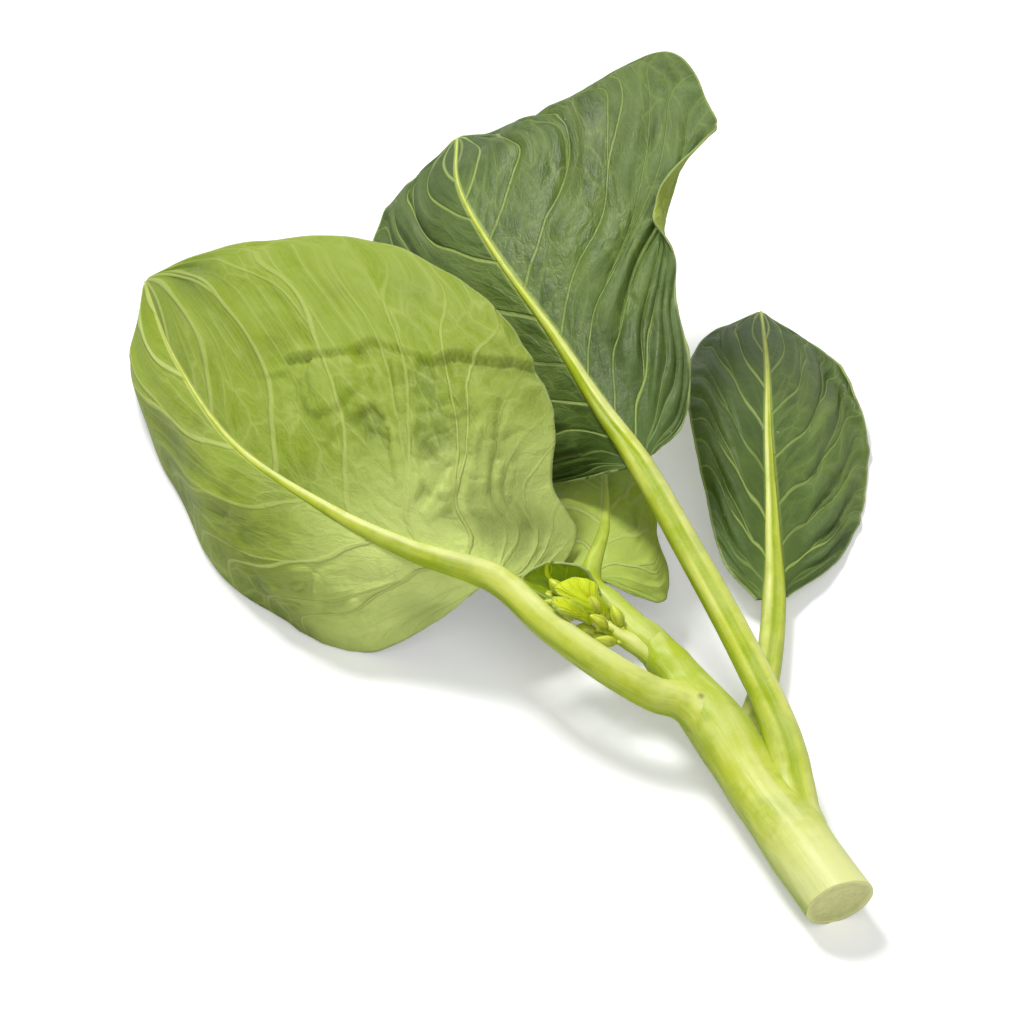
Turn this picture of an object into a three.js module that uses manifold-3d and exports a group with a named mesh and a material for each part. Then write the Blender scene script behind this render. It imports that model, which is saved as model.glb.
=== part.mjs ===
// One cut shoot of Chinese broccoli (gai lan) lying on its side.
//
// A thick juicy stem runs from its cut face to a knuckle, where it gives off four leaves and a
// short flowering tip. The shoot lies along +Y with its cut face at the -Y end, on the plane Z = 0.
// Two of the leaves, left_leaf and middle_leaf, lie with their undersides up.
// Units are millimetres and +Z is up.

import * as THREE from 'three';
import { mergeVertices } from 'three/addons/utils/BufferGeometryUtils.js';
import Module from 'manifold-3d';

// ---- Driving dimensions ----

const STEM_RADIUS = 8.2; // at the cut face
const STEM_WAIST_RADIUS = 6.7; // past the place where the top leaf's stalk leaves it
const STEM_WAIST_SPAN = [0.2, 0.45]; // where it narrows to that, as shares of its length
const STEM_TOP_RADIUS = 5; // where the flowering tip goes on
const STEM_TOP_SPAN = [0.72, 1];
const KNUCKLE_SWELL = 0.6; // how much the stem thickens where the left leaf leaves it
const KNUCKLE_PLACE = 0.74; // how far along the stem that is, as a share of its length
const KNUCKLE_SPREAD = 0.12; // length of the swelling, as a share of the stem
const CUT_SLOPE = -0.25; // the cut face leans forwards at its top
const CUT_SKEW = -0.125; // and a little to one side
const BLADE_THICKNESS = 1.0;
const YOUNG_THICKNESS = 0.9;
const PLAY = 0.3; // clearance between pieces that touch
const MIDRIB_TIP_RADIUS = 0.7;
const STALK_FLARE = 4; // how suddenly a stalk widens into the stem: higher is later
const RIB_CLEARANCE = 1.6; // half width of the blade's step round its midrib, in midrib radii
const FLOWER_STALK_RADII = [2.8, 0.9];
const BUD_COUNT = 16;
const BUD_LENGTH = 5.6;
const BUD_RADIUS = 1.45;
const BUD_STALK_RADIUS = 0.6;
const BUD_REACH = 3.6; // length of a bud's own stalk, from the flower stalk's middle
const FIRST_BUD = 0.36; // the lowest bud's place, as a share of the flower stalk
const BUD_SPREAD = [0.66, 0.28]; // how far the lowest and the last bud lean out, as slopes

// The middle of the shoot's bounding box, which becomes the origin.
const MIDDLE = [16, 134];

// ---- Colours ----

const SKIN_ROUGHNESS = 0.5;
const BLADE_ROUGHNESS = 0.6;
const STEM_GREEN = 0xd3de78;
const STALK_GREEN = 0xc4d36c;
const UPPER_GREEN = 0x56733a;
const UNDER_GREEN = 0x92aa57;
const YOUNG_GREEN = 0xa9be4b;
const BUD_GREEN = 0xbccb45;

// ---- Routes, in millimetres from the foot of the cut face's centre ----

const STEM_ROUTE = [[0, 0, 8.2], [1, 19, 8.8], [1, 39, 10.5], [3, 56, 12.5], [3.4, 71, 14.5], [2.6, 82, 17]];
const FLOWER_STALK_ROUTE = [[1.8, 82, 17], [-1.8, 88, 19], [-5.3, 94, 21], [-8, 100, 22.5], [-11, 106, 23.5]];

// Each leaf's stalk runs from inside the stem to the foot of its blade, its midrib from there to
// the tip, and its two margins from the same foot to the same tip. belly lifts the blade between
// midrib and margin, and side is +1 where the midrib stands above the blade, -1 where it is below.
const LEAVES = {
  left_leaf: {
    colour: UNDER_GREEN,
    side: 1,
    stalkRadii: [5.2, 4.3],
    footRadius: 3.5,
    taper: 3,
    belly: 7,
    stalk: [[0, 42, 11.5], [1, 54, 13.5], [1, 62, 15.5], [-2, 69, 17.5], [-7, 74, 18.5], [-14, 85, 22],
      [-20, 101, 25], [-24, 120, 27]],
    midrib: [[-24, 120, 27], [-38, 136, 30], [-49, 159, 31], [-55, 192, 28], [-49, 232, 22], [-37, 270, 14]],
    right: [[-19, 121, 24], [-9, 119, 21], [2, 125, 25], [-1, 133, 36], [5, 144, 46], [8, 160, 53],
      [8, 185, 56], [-2, 213, 53], [-18, 236, 44], [-29, 256, 30], [-37, 270, 14]],
    left: [[-29, 122, 23], [-37, 127, 12], [-50, 137, 2], [-64, 151, 0.6], [-68, 178, 0.6], [-62, 214, 1],
      [-53, 247, 5], [-37, 270, 14]],
  },
  top_leaf: {
    colour: UPPER_GREEN,
    side: -1,
    stalkRadii: [4.7, 4.2],
    footRadius: 3,
    taper: 2.7,
    belly: 3,
    stalk: [[3.5, 12, 9], [5, 24, 10], [9.5, 36, 12.5], [12, 43, 15], [14.5, 54, 18], [17.5, 78, 24],
      [19.5, 102, 30], [21, 128, 37]],
    midrib: [[21, 128, 37], [21, 148, 41], [22, 171, 45], [22, 200, 50], [26, 224, 51], [38, 246, 46]],
    right: [[26, 130, 37], [37, 135, 38], [45.5, 147, 44], [51.5, 164, 50], [64, 178.5, 57], [79, 188.5, 63.5],
      [84, 204, 67], [85, 225.5, 68.8], [63, 228, 62.5], [48, 235, 52.5], [38, 246, 46]],
    left: [[16, 131, 35], [10, 146, 22], [0, 163, 12], [-5, 186, 8], [-5, 212, 15], [5, 230, 27],
      [18, 241, 38], [38, 246, 46]],
  },
  middle_leaf: {
    colour: UNDER_GREEN,
    side: 1,
    stalkRadii: [5, 4.5],
    footRadius: 2.6,
    taper: 4,
    belly: 4,
    stalk: [[2.6, 79, 16.2], [1.9, 87.5, 18], [0.1, 96.8, 19.5], [-0.7, 105.5, 20], [-0.7, 114.8, 20]],
    midrib: [[-0.7, 114.8, 20], [11, 128, 21], [22, 146, 18], [33, 166, 11], [42, 190, 4]],
    right: [[2, 113.5, 19.5], [9, 108, 15.5], [15.5, 107, 12], [20, 114, 12.5], [24, 127, 13], [33, 142, 9],
      [42, 160, 4], [47, 177, 1.5], [42, 190, 4]],
    left: [[-3.5, 116, 20], [-8, 123, 16], [-9, 138, 11], [-3, 158, 5], [10, 176, 2], [26, 188, 1.5],
      [42, 190, 4]],
  },
  right_leaf: {
    colour: UPPER_GREEN,
    side: -1,
    stalkRadii: [4.2, 3.4],
    footRadius: 2.8,
    taper: 2.3,
    belly: 2,
    stalk: [[5, 56, 9.5], [16, 66, 6.5], [29, 81, 5.5], [42, 100, 6]],
    midrib: [[42, 100, 6], [52, 118, 12], [64, 140, 17], [78, 164, 16], [92, 190, 8]],
    right: [[46, 100, 5], [64, 108, 2], [82, 124, 0.6], [96, 148, 0.6], [100, 172, 2], [92, 190, 8]],
    left: [[38, 102, 6], [36, 114, 10], [42, 134, 17], [52, 158, 19], [68, 181, 15], [92, 190, 8]],
  },
};

// The young leaves at the tip are one piece each, with no stalk of their own. The outer one folds
// over the end of the buds, the inner one curls up behind it, and the small one lies before it,
// by the left leaf's stalk.
const YOUNG_LEAVES = {
  young_leaf_outer: {
    belly: 1,
    midrib: [[-4.5, 99, 21], [-6.5, 101, 24], [-8.5, 102.5, 27], [-9.5, 105, 29], [-9, 108.5, 29.5]],
    right: [[-3, 99.5, 21], [-4, 101, 24], [-5.5, 102.5, 27], [-5, 105, 29], [-9, 108.5, 29.5]],
    left: [[-6, 99, 21], [-9.5, 100, 24.5], [-12.5, 102, 27], [-14.5, 108, 29], [-9, 108.5, 29.5]],
  },
  young_leaf_inner: {
    belly: -1,
    midrib: [[-3, 97.5, 18.5], [-5.5, 105.5, 19.5], [-8.5, 111.5, 21.5], [-11.5, 116, 25], [-11.5, 117, 29]],
    right: [[-1, 98, 18.5], [-2.5, 105, 21.5], [-3, 108.5, 26], [-5, 111.5, 29], [-11.5, 117, 29]],
    left: [[-4, 97.5, 18.5], [-9.5, 103.5, 20.5], [-15, 109.5, 24], [-19, 116, 27.5], [-11.5, 117, 29]],
  },
  young_leaf_small: {
    belly: 0.6,
    midrib: [[-9.5, 98.5, 23], [-12.5, 99, 26.5], [-15, 99.5, 29], [-16.5, 101.5, 30], [-17, 104.5, 30]],
    right: [[-9, 99, 23], [-11, 100, 26.5], [-13, 101, 29], [-14.5, 102.5, 30], [-17, 104.5, 30]],
    left: [[-10.5, 98.5, 23], [-14, 98.5, 26.5], [-17, 99, 29], [-18.5, 101.5, 30], [-17, 104.5, 30]],
  },
};

// ---- Mesh resolution ----

const STEM_SIDES = 14;
const STEM_STEPS = 16;
const STALK_SIDES = 9;
const STALK_STEPS = 26;
const FLOWER_STALK_STEPS = 8;
const BUD_STALK_SIDES = 6;
const BLADE_COLUMNS = 12;
const BLADE_ROWS = 20;
const YOUNG_COLUMNS = 6;
const YOUNG_ROWS = 10;
const BUD_SIDES = 7;
const BUD_RINGS = 5;

// The blades stop just short of the point where their margins meet.
const BLADE_END = 0.985;

// Length of the steps that find which way a surface faces, as a share of the blade.
const SLOPE_STEP = 0.004;

const wasm = await Module();
wasm.setup();

// ---- Curves and solids ----

function routeOf(points) {
  const vectors = points.map((point) => new THREE.Vector3(...point));
  return new THREE.CatmullRomCurve3(vectors, false, 'catmullrom', 0.5);
}

// A closed geometry with its shared vertices merged and only its positions kept.
function merged(geometry) {
  geometry.deleteAttribute('uv');
  geometry.deleteAttribute('normal');
  const closed = mergeVertices(geometry, 1e-4);
  closed.computeVertexNormals();
  return closed;
}

// A round rod along a route, whose radius is radiusAt(share of its length).
function taperedRod(route, radiusAt, sides, steps) {
  const rod = new THREE.CylinderGeometry(1, 1, 1, sides, steps);
  const frames = route.computeFrenetFrames(steps);
  const position = rod.getAttribute('position');
  for (let index = 0; index < position.count; index += 1) {
    const row = Math.round((position.getY(index) + 0.5) * steps);
    const radius = radiusAt(row / steps);
    const place = route.getPointAt(row / steps)
      .addScaledVector(frames.normals[row], radius * position.getX(index))
      .addScaledVector(frames.binormals[row], -radius * position.getZ(index));
    position.setXYZ(index, place.x, place.y, place.z);
  }
  return merged(rod);
}

// The middle surface of a blade: along runs from its foot to its tip, across from -1 on the left
// margin over 0 on the midrib to 1 on the right margin. Along the midrib the blade steps aside by
// clearance, towards the side away from the midrib's rod.
function bladeSurface(leaf, ribRadiusAt) {
  const midrib = routeOf(leaf.midrib);
  const margins = { right: routeOf(leaf.right), left: routeOf(leaf.left) };
  return (along, across) => {
    const middle = midrib.getPoint(along);
    const margin = (across < 0 ? margins.left : margins.right).getPoint(along);
    const upwards = new THREE.Vector3()
      .subVectors(margins.right.getPoint(along), margins.left.getPoint(along))
      .cross(midrib.getTangent(along))
      .normalize();
    const reach = Math.abs(across);
    const width = middle.distanceTo(margin);
    let lift = leaf.belly * 4 * reach * (1 - reach) * Math.sin(Math.PI * along);
    if (leaf.side) {
      const radius = ribRadiusAt(along);
      const clearance = radius + PLAY + BLADE_THICKNESS / 2;
      lift -= leaf.side * clearance * Math.exp(-((reach * width / (RIB_CLEARANCE * radius)) ** 2));
    }
    return middle.lerp(margin, reach).addScaledVector(upwards, lift);
  };
}

// A closed sheet of even thickness about a surface.
function sheet(surface, thickness, columns, rows) {
  const box = new THREE.BoxGeometry(2, 1, 1, columns, rows, 1);
  const position = box.getAttribute('position');
  for (let index = 0; index < position.count; index += 1) {
    const across = position.getX(index);
    const along = (position.getY(index) + 0.5) * BLADE_END;
    const sideways = across > 0
      ? surface(along, across).sub(surface(along, across - SLOPE_STEP))
      : surface(along, across + SLOPE_STEP).sub(surface(along, across));
    const forwards = along < 0.5
      ? surface(along + SLOPE_STEP, across).sub(surface(along, across))
      : surface(along, across).sub(surface(along - SLOPE_STEP, across));
    const normal = sideways.cross(forwards).normalize();
    const place = surface(along, across).addScaledVector(normal, thickness * position.getZ(index));
    position.setXYZ(index, place.x, place.y, place.z);
  }
  return merged(box);
}

function solidOf(geometry) {
  const vertProperties = new Float32Array(geometry.getAttribute('position').array);
  const triVerts = new Uint32Array(geometry.getIndex().array);
  return new wasm.Manifold(new wasm.Mesh({ numProp: 3, vertProperties, triVerts }));
}

// The largest separate body of a solid, without the slivers that a cut may leave.
function largest(solid) {
  return solid.decompose().reduce((best, body) => (body.volume() > best.volume() ? body : best));
}

function geometryOf(solid) {
  const { vertProperties, triVerts } = solid.getMesh();
  const geometry = new THREE.BufferGeometry();
  geometry.setAttribute('position', new THREE.BufferAttribute(new Float32Array(vertProperties), 3));
  geometry.setIndex(new THREE.BufferAttribute(new Uint32Array(triVerts), 1));
  geometry.computeVertexNormals();
  return geometry;
}

function pieceOf(name, geometry, color, roughness) {
  const material = new THREE.MeshStandardMaterial({ color, roughness, metalness: 0 });
  const mesh = new THREE.Mesh(geometry, material);
  mesh.name = name;
  return mesh;
}

// ---- The stem ----

function stemRadius(share, extra) {
  const waist = THREE.MathUtils.smoothstep(share, ...STEM_WAIST_SPAN);
  const top = THREE.MathUtils.smoothstep(share, ...STEM_TOP_SPAN);
  const swell = KNUCKLE_SWELL * Math.exp(-(((share - KNUCKLE_PLACE) / KNUCKLE_SPREAD) ** 2));
  const narrowed = THREE.MathUtils.lerp(STEM_RADIUS, STEM_WAIST_RADIUS, waist);
  return THREE.MathUtils.lerp(narrowed, STEM_TOP_RADIUS, top) + swell + extra;
}

// The stem's solid, fattened by extra. Its first ring leans to make the slanting cut face.
function stemSolid(extra) {
  const rod = taperedRod(routeOf(STEM_ROUTE), (share) => stemRadius(share, extra), STEM_SIDES, STEM_STEPS);
  const position = rod.getAttribute('position');
  const [cutX, cutY, cutZ] = STEM_ROUTE[0];
  for (let index = 0; index < position.count; index += 1) {
    if (position.getY(index) < cutY + 1) {
      const slope = CUT_SLOPE * (position.getZ(index) - cutZ);
      const skew = CUT_SKEW * (position.getX(index) - cutX);
      position.setY(index, position.getY(index) + slope + skew);
    }
  }
  return solidOf(rod);
}

const clearOfStem = stemSolid(PLAY);

// ---- The leaves ----

function ribRadius(leaf, along) {
  const share = (1 - along) ** leaf.taper;
  return THREE.MathUtils.lerp(MIDRIB_TIP_RADIUS, leaf.footRadius, share);
}

// A leaf's stalk and midrib in one rod, fattened by extra.
function stalkSolid(leaf, extra) {
  const route = routeOf([...leaf.stalk, ...leaf.midrib.slice(1)]);
  const stalkShare = routeOf(leaf.stalk).getLength() / route.getLength();
  const [baseRadius, stalkRadius] = leaf.stalkRadii;
  const radiusAt = (share) => {
    if (share > stalkShare) {
      return ribRadius(leaf, (share - stalkShare) / (1 - stalkShare)) + extra;
    }
    const reach = share / stalkShare;
    const waist = THREE.MathUtils.lerp(stalkRadius, leaf.footRadius, reach);
    return waist + (baseRadius - stalkRadius) * (1 - reach) ** STALK_FLARE + extra;
  };
  return solidOf(taperedRod(route, radiusAt, STALK_SIDES, STALK_STEPS));
}

function leafPieces(name, leaf) {
  const stalk = largest(stalkSolid(leaf, 0).subtract(clearOfStem));
  const surface = bladeSurface(leaf, (along) => ribRadius(leaf, along));
  const whole = solidOf(sheet(surface, BLADE_THICKNESS, BLADE_COLUMNS, BLADE_ROWS));
  const blade = largest(whole.subtract(stalkSolid(leaf, PLAY)));
  return [
    pieceOf(`${name}_stalk`, geometryOf(stalk), STALK_GREEN, SKIN_ROUGHNESS),
    pieceOf(`${name}_blade`, geometryOf(blade), leaf.colour, BLADE_ROUGHNESS),
  ];
}

function youngLeaf(name, leaf, clearance) {
  const whole = solidOf(sheet(bladeSurface(leaf), YOUNG_THICKNESS, YOUNG_COLUMNS, YOUNG_ROWS));
  return pieceOf(name, geometryOf(largest(whole.subtract(clearance))), YOUNG_GREEN, BLADE_ROUGHNESS);
}

// ---- The flowering tip ----

// Where each bud sits: they leave the flower stalk at the golden angle, one after the other, and
// lean towards its end.
function budPlaces(route) {
  const goldenAngle = Math.PI * (3 - Math.sqrt(5));
  const places = [];
  for (let number = 0; number < BUD_COUNT; number += 1) {
    const step = number / (BUD_COUNT - 1);
    const share = THREE.MathUtils.lerp(FIRST_BUD, 1, step);
    const forwards = route.getTangentAt(share);
    const sideways = new THREE.Vector3(0, 0, 1).cross(forwards).normalize();
    const upwards = new THREE.Vector3().crossVectors(forwards, sideways);
    const turn = number * goldenAngle;
    const spread = THREE.MathUtils.lerp(...BUD_SPREAD, step ** 2);
    const heading = forwards.clone()
      .addScaledVector(sideways, spread * Math.cos(turn))
      .addScaledVector(upwards, spread * Math.sin(turn))
      .normalize();
    places.push({ foot: route.getPointAt(share), heading });
  }
  return places;
}

function budStalk(place, extra) {
  const end = place.foot.clone().addScaledVector(place.heading, BUD_REACH);
  const route = new THREE.LineCurve3(place.foot, end);
  return solidOf(taperedRod(route, () => BUD_STALK_RADIUS + extra, BUD_STALK_SIDES, 1));
}

// A closed bud at the end of its stalk, fattened by extra.
function budSolid(place, extra) {
  const middle = place.foot.clone().addScaledVector(place.heading, BUD_REACH + PLAY + BUD_LENGTH / 2);
  const turn = new THREE.Quaternion().setFromUnitVectors(new THREE.Vector3(0, 1, 0), place.heading);
  const size = new THREE.Vector3(BUD_RADIUS + extra, BUD_LENGTH / 2 + extra, BUD_RADIUS + extra);
  const ball = new THREE.SphereGeometry(1, BUD_SIDES, BUD_RINGS);
  ball.applyMatrix4(new THREE.Matrix4().compose(middle, turn, size));
  return solidOf(merged(ball));
}

// The flower stalk with every bud's own stalk, fattened by extra.
function flowerStalkSolid(places, extra) {
  const [footRadius, endRadius] = FLOWER_STALK_RADII;
  const radiusAt = (share) => THREE.MathUtils.lerp(footRadius, endRadius, share) + extra;
  const stem = taperedRod(routeOf(FLOWER_STALK_ROUTE), radiusAt, STALK_SIDES, FLOWER_STALK_STEPS);
  return wasm.Manifold.union([solidOf(stem), ...places.map((place) => budStalk(place, extra))]);
}

// The flower stalk, its buds and the young leaves round them, all clear of the stem and of the
// middle leaf's stalk.
function floweringTip() {
  const tip = new THREE.Group();
  const clearOfStalks = wasm.Manifold.union([clearOfStem, stalkSolid(LEAVES.middle_leaf, PLAY)]);
  const places = budPlaces(routeOf(FLOWER_STALK_ROUTE));
  const stalk = largest(flowerStalkSolid(places, 0).subtract(clearOfStalks));
  tip.add(pieceOf('flower_stalk', geometryOf(stalk), STALK_GREEN, SKIN_ROUGHNESS));
  places.forEach((place, index) => {
    const name = `flower_bud_${String(index + 1).padStart(2, '0')}`;
    tip.add(pieceOf(name, geometryOf(budSolid(place, 0)), BUD_GREEN, SKIN_ROUGHNESS));
  });
  const clearOfAll = wasm.Manifold.union([
    clearOfStalks,
    stalkSolid(LEAVES.left_leaf, PLAY),
    flowerStalkSolid(places, PLAY),
    ...places.map((place) => budSolid(place, PLAY)),
  ]);
  for (const [name, leaf] of Object.entries(YOUNG_LEAVES)) {
    tip.add(youngLeaf(name, leaf, clearOfAll));
  }
  return tip;
}

// ---- The whole shoot ----

const shoot = new THREE.Group();
shoot.add(pieceOf('main_stem', geometryOf(stemSolid(0)), STEM_GREEN, SKIN_ROUGHNESS));
for (const [name, leaf] of Object.entries(LEAVES)) {
  shoot.add(...leafPieces(name, leaf));
}
shoot.add(floweringTip());
shoot.position.set(-MIDDLE[0], -MIDDLE[1], 0);

const part = new THREE.Group();
part.add(shoot);

export default part;
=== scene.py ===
"""The looks of one cut shoot of Chinese broccoli (gai lan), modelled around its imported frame."""

from bisect import bisect_right
from functools import lru_cache
from math import atan2, cos, exp, hypot, pi, radians, sin, sqrt

import bmesh
import bpy
from bpy.props import FloatProperty, FloatVectorProperty, PointerProperty
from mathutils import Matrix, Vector, noise
from mathutils.kdtree import KDTree


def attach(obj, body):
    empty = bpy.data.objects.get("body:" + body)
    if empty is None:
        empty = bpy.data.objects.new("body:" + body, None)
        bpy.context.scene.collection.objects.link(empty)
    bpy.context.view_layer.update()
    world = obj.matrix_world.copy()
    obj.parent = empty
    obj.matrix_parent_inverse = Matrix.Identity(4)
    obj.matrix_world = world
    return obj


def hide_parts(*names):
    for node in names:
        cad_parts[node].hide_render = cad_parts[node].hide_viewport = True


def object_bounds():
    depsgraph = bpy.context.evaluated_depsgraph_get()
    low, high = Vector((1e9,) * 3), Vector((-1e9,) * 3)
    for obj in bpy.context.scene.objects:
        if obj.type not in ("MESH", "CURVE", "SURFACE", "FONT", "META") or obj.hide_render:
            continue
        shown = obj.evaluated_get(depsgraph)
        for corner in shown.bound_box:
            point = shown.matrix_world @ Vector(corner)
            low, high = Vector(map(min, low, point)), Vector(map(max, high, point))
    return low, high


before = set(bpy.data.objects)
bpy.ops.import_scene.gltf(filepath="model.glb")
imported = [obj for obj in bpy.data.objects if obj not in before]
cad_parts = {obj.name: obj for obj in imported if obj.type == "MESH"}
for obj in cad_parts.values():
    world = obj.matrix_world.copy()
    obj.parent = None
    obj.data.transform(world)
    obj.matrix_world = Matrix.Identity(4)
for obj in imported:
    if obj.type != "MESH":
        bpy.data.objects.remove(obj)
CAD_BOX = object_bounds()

bl_info = {
    "name": "Chinese Broccoli Shoot",
    "version": (1, 0, 0),
    "blender": (4, 5, 0),
    "location": "3D View > Sidebar > Shoot",
    "description": "Builds a cut shoot of Chinese broccoli with its leaves, buds and a plain stage",
    "category": "Add Mesh",
}

MM = 0.001

# Routes in millimetres, as in the solid model: along +Y from the cut face, which MIDDLE centres.
# The stem and the flower stalk run on a little, to end inside what grows from them.
MIDDLE = Vector((16, 134, 0))
STEM_ROUTE = [(0, 0, 8.2), (1, 19, 8.8), (1, 39, 10.5), (3, 56, 12.5), (3.4, 71, 14.5), (2.6, 82, 17)]
STEM_END = [(1.9, 91, 18.5)]
STEM_RADIUS = 8.2
STEM_WAIST_RADIUS = 6.7
STEM_WAIST_SPAN = (0.2, 0.45)
STEM_TOP_RADIUS = 5
STEM_TOP_SPAN = (0.72, 1)
STEM_END_RADIUS = 2.6
KNUCKLE_SWELL = 0.6
KNUCKLE_PLACE = 0.74
KNUCKLE_SPREAD = 0.12
CUT_SLOPE = -0.25
CUT_SKEW = -0.125
CUT_BLEND = 12
MIDRIB_TIP_RADIUS = 0.4
STALK_FLARE = 4
STALK_SUNK = 14  # over this length a stalk swells from a thin foot inside the stem
STALK_FOOT_SHARE = 0.4
STALK_GROOVE_DEPTH = 0.2
STALK_GROOVE_WIDTH = 0.35
STALK_FLATNESS = 0.05
CUT_STEPS = ((0.3, 0.18), (0.5, 0.12), (1.2, 0.1), (1.6, 0.0), (2.0, -0.1))  # width and sink of its rings
FLOWER_STALK_ROUTE = [(1.8, 82, 17), (-1.8, 88, 19), (-5.3, 94, 21), (-8, 100, 22.5), (-11, 106, 23.5)]
FLOWER_STALK_RADII = (2.8, 0.9)
BUD_COUNT = 16
BUD_LENGTH = 5.6
BUD_RADIUS = 1.45
BUD_STALK_LENGTH = 3.9
BUD_STALK_RADII = (0.75, 0.55)
FIRST_BUD = 0.36
BUD_SPREAD = (0.66, 0.28)
AXIL_SCAR = (1.0, 65.5, 20.0)

# Where rods meet, their skins flow together over this reach. A skin that another rod covers sinks by
# up to a share of it, and one that lies in the corner between two rods rises by up to another.
FUSE_REACH = 3.7
TIP_FUSE_REACH = 2.5
FUSE_SINK = 0.7
FUSE_RISE = 0.4
FUSE_STEP = 0.8
FUSE_STEPS = 4
COVERED = 0.95  # from this share on a skin counts as covered, and goes to one fixed depth
COVERED_SINK = 0.5
FUSE_SMOOTHINGS = 7

# Blades are drawn from their midrib, left and right lines. The stalk line leads to the midrib.
# side is +1 where a leaf lies with its underside up and -1 where its upper side is up. veins is the
# number of side veins per blade length, and lean how far they run forwards to the left and right
# rims. puffs, pleats, wrinkles (of the left and right half) and folds are the strengths of the four
# kinds of unevenness. belly is how far each half bulges, and taper how soon the midrib grows thin.
# rolls are stretches of rim that curl over: margin, place along it, spread before and after it, degrees.
# creases are ledges across a half blade: margin, points as (along, across), height.
# blisters are single swellings: middle as (along, across), radius, height.
LEAVES = {
    "left_leaf": {
        "slot": "leaf_underside", "side": 1, "stalk_radii": (5.2, 4.3), "foot_radius": 3.5, "taper": 3,
        "belly": 7, "veins": 6, "lean": (0.35, 0.62), "puffs": 0.6, "pleats": 0.3,
        "wrinkles": (0.7, 1.5), "folds": 1.3, "seed": 3, "grid": (170, 260),
        "rolls": [("left", 0.45, 0.22, 0.22, 60)],
        "creases": [
            ("right", [(0.65, 0.2), (0.625, 0.32), (0.59, 0.57), (0.53, 0.75), (0.5, 0.9), (0.485, 1)], 1.9),
        ],
        "blisters": [
            ((0.57, 0.40), 8.5, 1.6),
            ((0.47, 0.72), 5, 0.9),
            ((0.36, 0.54), 5.5, 0.9),
        ],
        "stalk": [(0, 42, 11.5), (1, 54, 13.5), (1, 62, 15.5), (-2, 69, 17.5), (-7, 74, 18.5), (-14, 85, 22),
                  (-20, 101, 25), (-24, 120, 27)],
        "midrib": [(-24, 120, 27), (-38, 136, 30), (-49, 159, 31), (-55, 192, 28), (-49, 232, 22),
                   (-37, 270, 14)],
        "right": [(-19, 121, 24), (-9, 119, 21), (2, 125, 25), (-1, 133, 36), (5, 144, 46), (8, 160, 53),
                  (8, 185, 56), (-2, 213, 53), (-18, 236, 44), (-29, 256, 30), (-37, 270, 14)],
        "left": [(-29, 122, 23), (-37, 127, 12), (-50, 137, 2), (-64, 151, 0.6), (-68, 178, 0.6),
                 (-62, 214, 1), (-53, 247, 5), (-37, 270, 14)],
    },
    "top_leaf": {
        "slot": "leaf_upper_side", "side": -1, "stalk_radii": (4.7, 4.2), "foot_radius": 3,
        "taper": 2.7, "belly": 3, "veins": 8, "lean": (0.40, 0.42), "puffs": 1.1, "pleats": 0.8,
        "wrinkles": (0.4, 0.4), "folds": 1.2, "seed": 8, "grid": (170, 260),
        "rolls": [("right", 0.455, 0.075, 0.045, 175), ("left", 0.5, 0.3, 0.3, 50)],
        "stalk": [(3.5, 12, 9), (5, 24, 10), (9.5, 36, 12.5), (12, 43, 15), (14.5, 54, 18), (17.5, 78, 24),
                  (19.5, 102, 30), (21, 128, 37)],
        "midrib": [(21, 128, 37), (21, 148, 41), (22, 171, 45), (22, 200, 50), (26, 224, 51), (38, 246, 46)],
        "right": [(26, 130, 37), (37, 135, 38), (45.5, 147, 44), (51.5, 164, 50), (64, 178.5, 57),
                  (79, 188.5, 63.5), (84, 204, 67), (85, 225.5, 68.8), (63, 228, 62.5), (48, 235, 52.5),
                  (38, 246, 46)],
        "left": [(16, 131, 35), (10, 146, 22), (0, 163, 12), (-5, 186, 8), (-5, 212, 15), (5, 230, 27),
                 (18, 241, 38), (38, 246, 46)],
    },
    "middle_leaf": {
        "slot": "leaf_underside", "side": 1, "stalk_radii": (5, 4.5), "foot_radius": 2.6, "taper": 4,
        "belly": 4, "veins": 6, "lean": (0.4, 0.4), "puffs": 0.6, "pleats": 0.4, "wrinkles": (0.5, 0.5),
        "folds": 0.6, "seed": 21, "grid": (110, 150),
        "stalk": [(2.6, 79, 16.2), (1.9, 87.5, 18), (0.1, 96.8, 19.5), (-0.7, 105.5, 20), (-0.7, 114.8, 20)],
        "midrib": [(-0.7, 114.8, 20), (11, 128, 21), (22, 146, 18), (33, 166, 11), (42, 190, 4)],
        "right": [(2, 113.5, 19.5), (9, 108, 15.5), (15.5, 107, 12), (20, 114, 12.5), (24, 127, 13),
                  (33, 142, 9), (42, 160, 4), (47, 177, 1.5), (42, 190, 4)],
        "left": [(-3.5, 116, 20), (-8, 123, 16), (-9, 138, 11), (-3, 158, 5), (10, 176, 2), (26, 188, 1.5),
                 (42, 190, 4)],
    },
    "right_leaf": {
        "slot": "leaf_upper_side", "side": -1, "stalk_radii": (4.2, 3.4), "foot_radius": 2.8,
        "taper": 2.3, "belly": 2, "veins": 7, "lean": (0.38, 0.38), "puffs": 0.8, "pleats": 0.8,
        "wrinkles": (0.5, 0.5), "folds": 0.7, "seed": 34, "grid": (110, 150),
        "rolls": [("right", 0.7, 0.12, 0.12, 90)],
        "stalk": [(5, 56, 9.5), (16, 66, 6.5), (29, 81, 5.5), (42, 100, 6)],
        "midrib": [(42, 100, 6), (52, 118, 12), (64, 140, 17), (78, 164, 16), (92, 190, 8)],
        "right": [(46, 100, 5), (64, 108, 2), (82, 124, 0.6), (96, 148, 0.6), (100, 172, 2), (92, 190, 8)],
        "left": [(38, 102, 6), (36, 114, 10), (42, 134, 17), (52, 158, 19), (68, 181, 15), (92, 190, 8)],
    },
}

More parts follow.
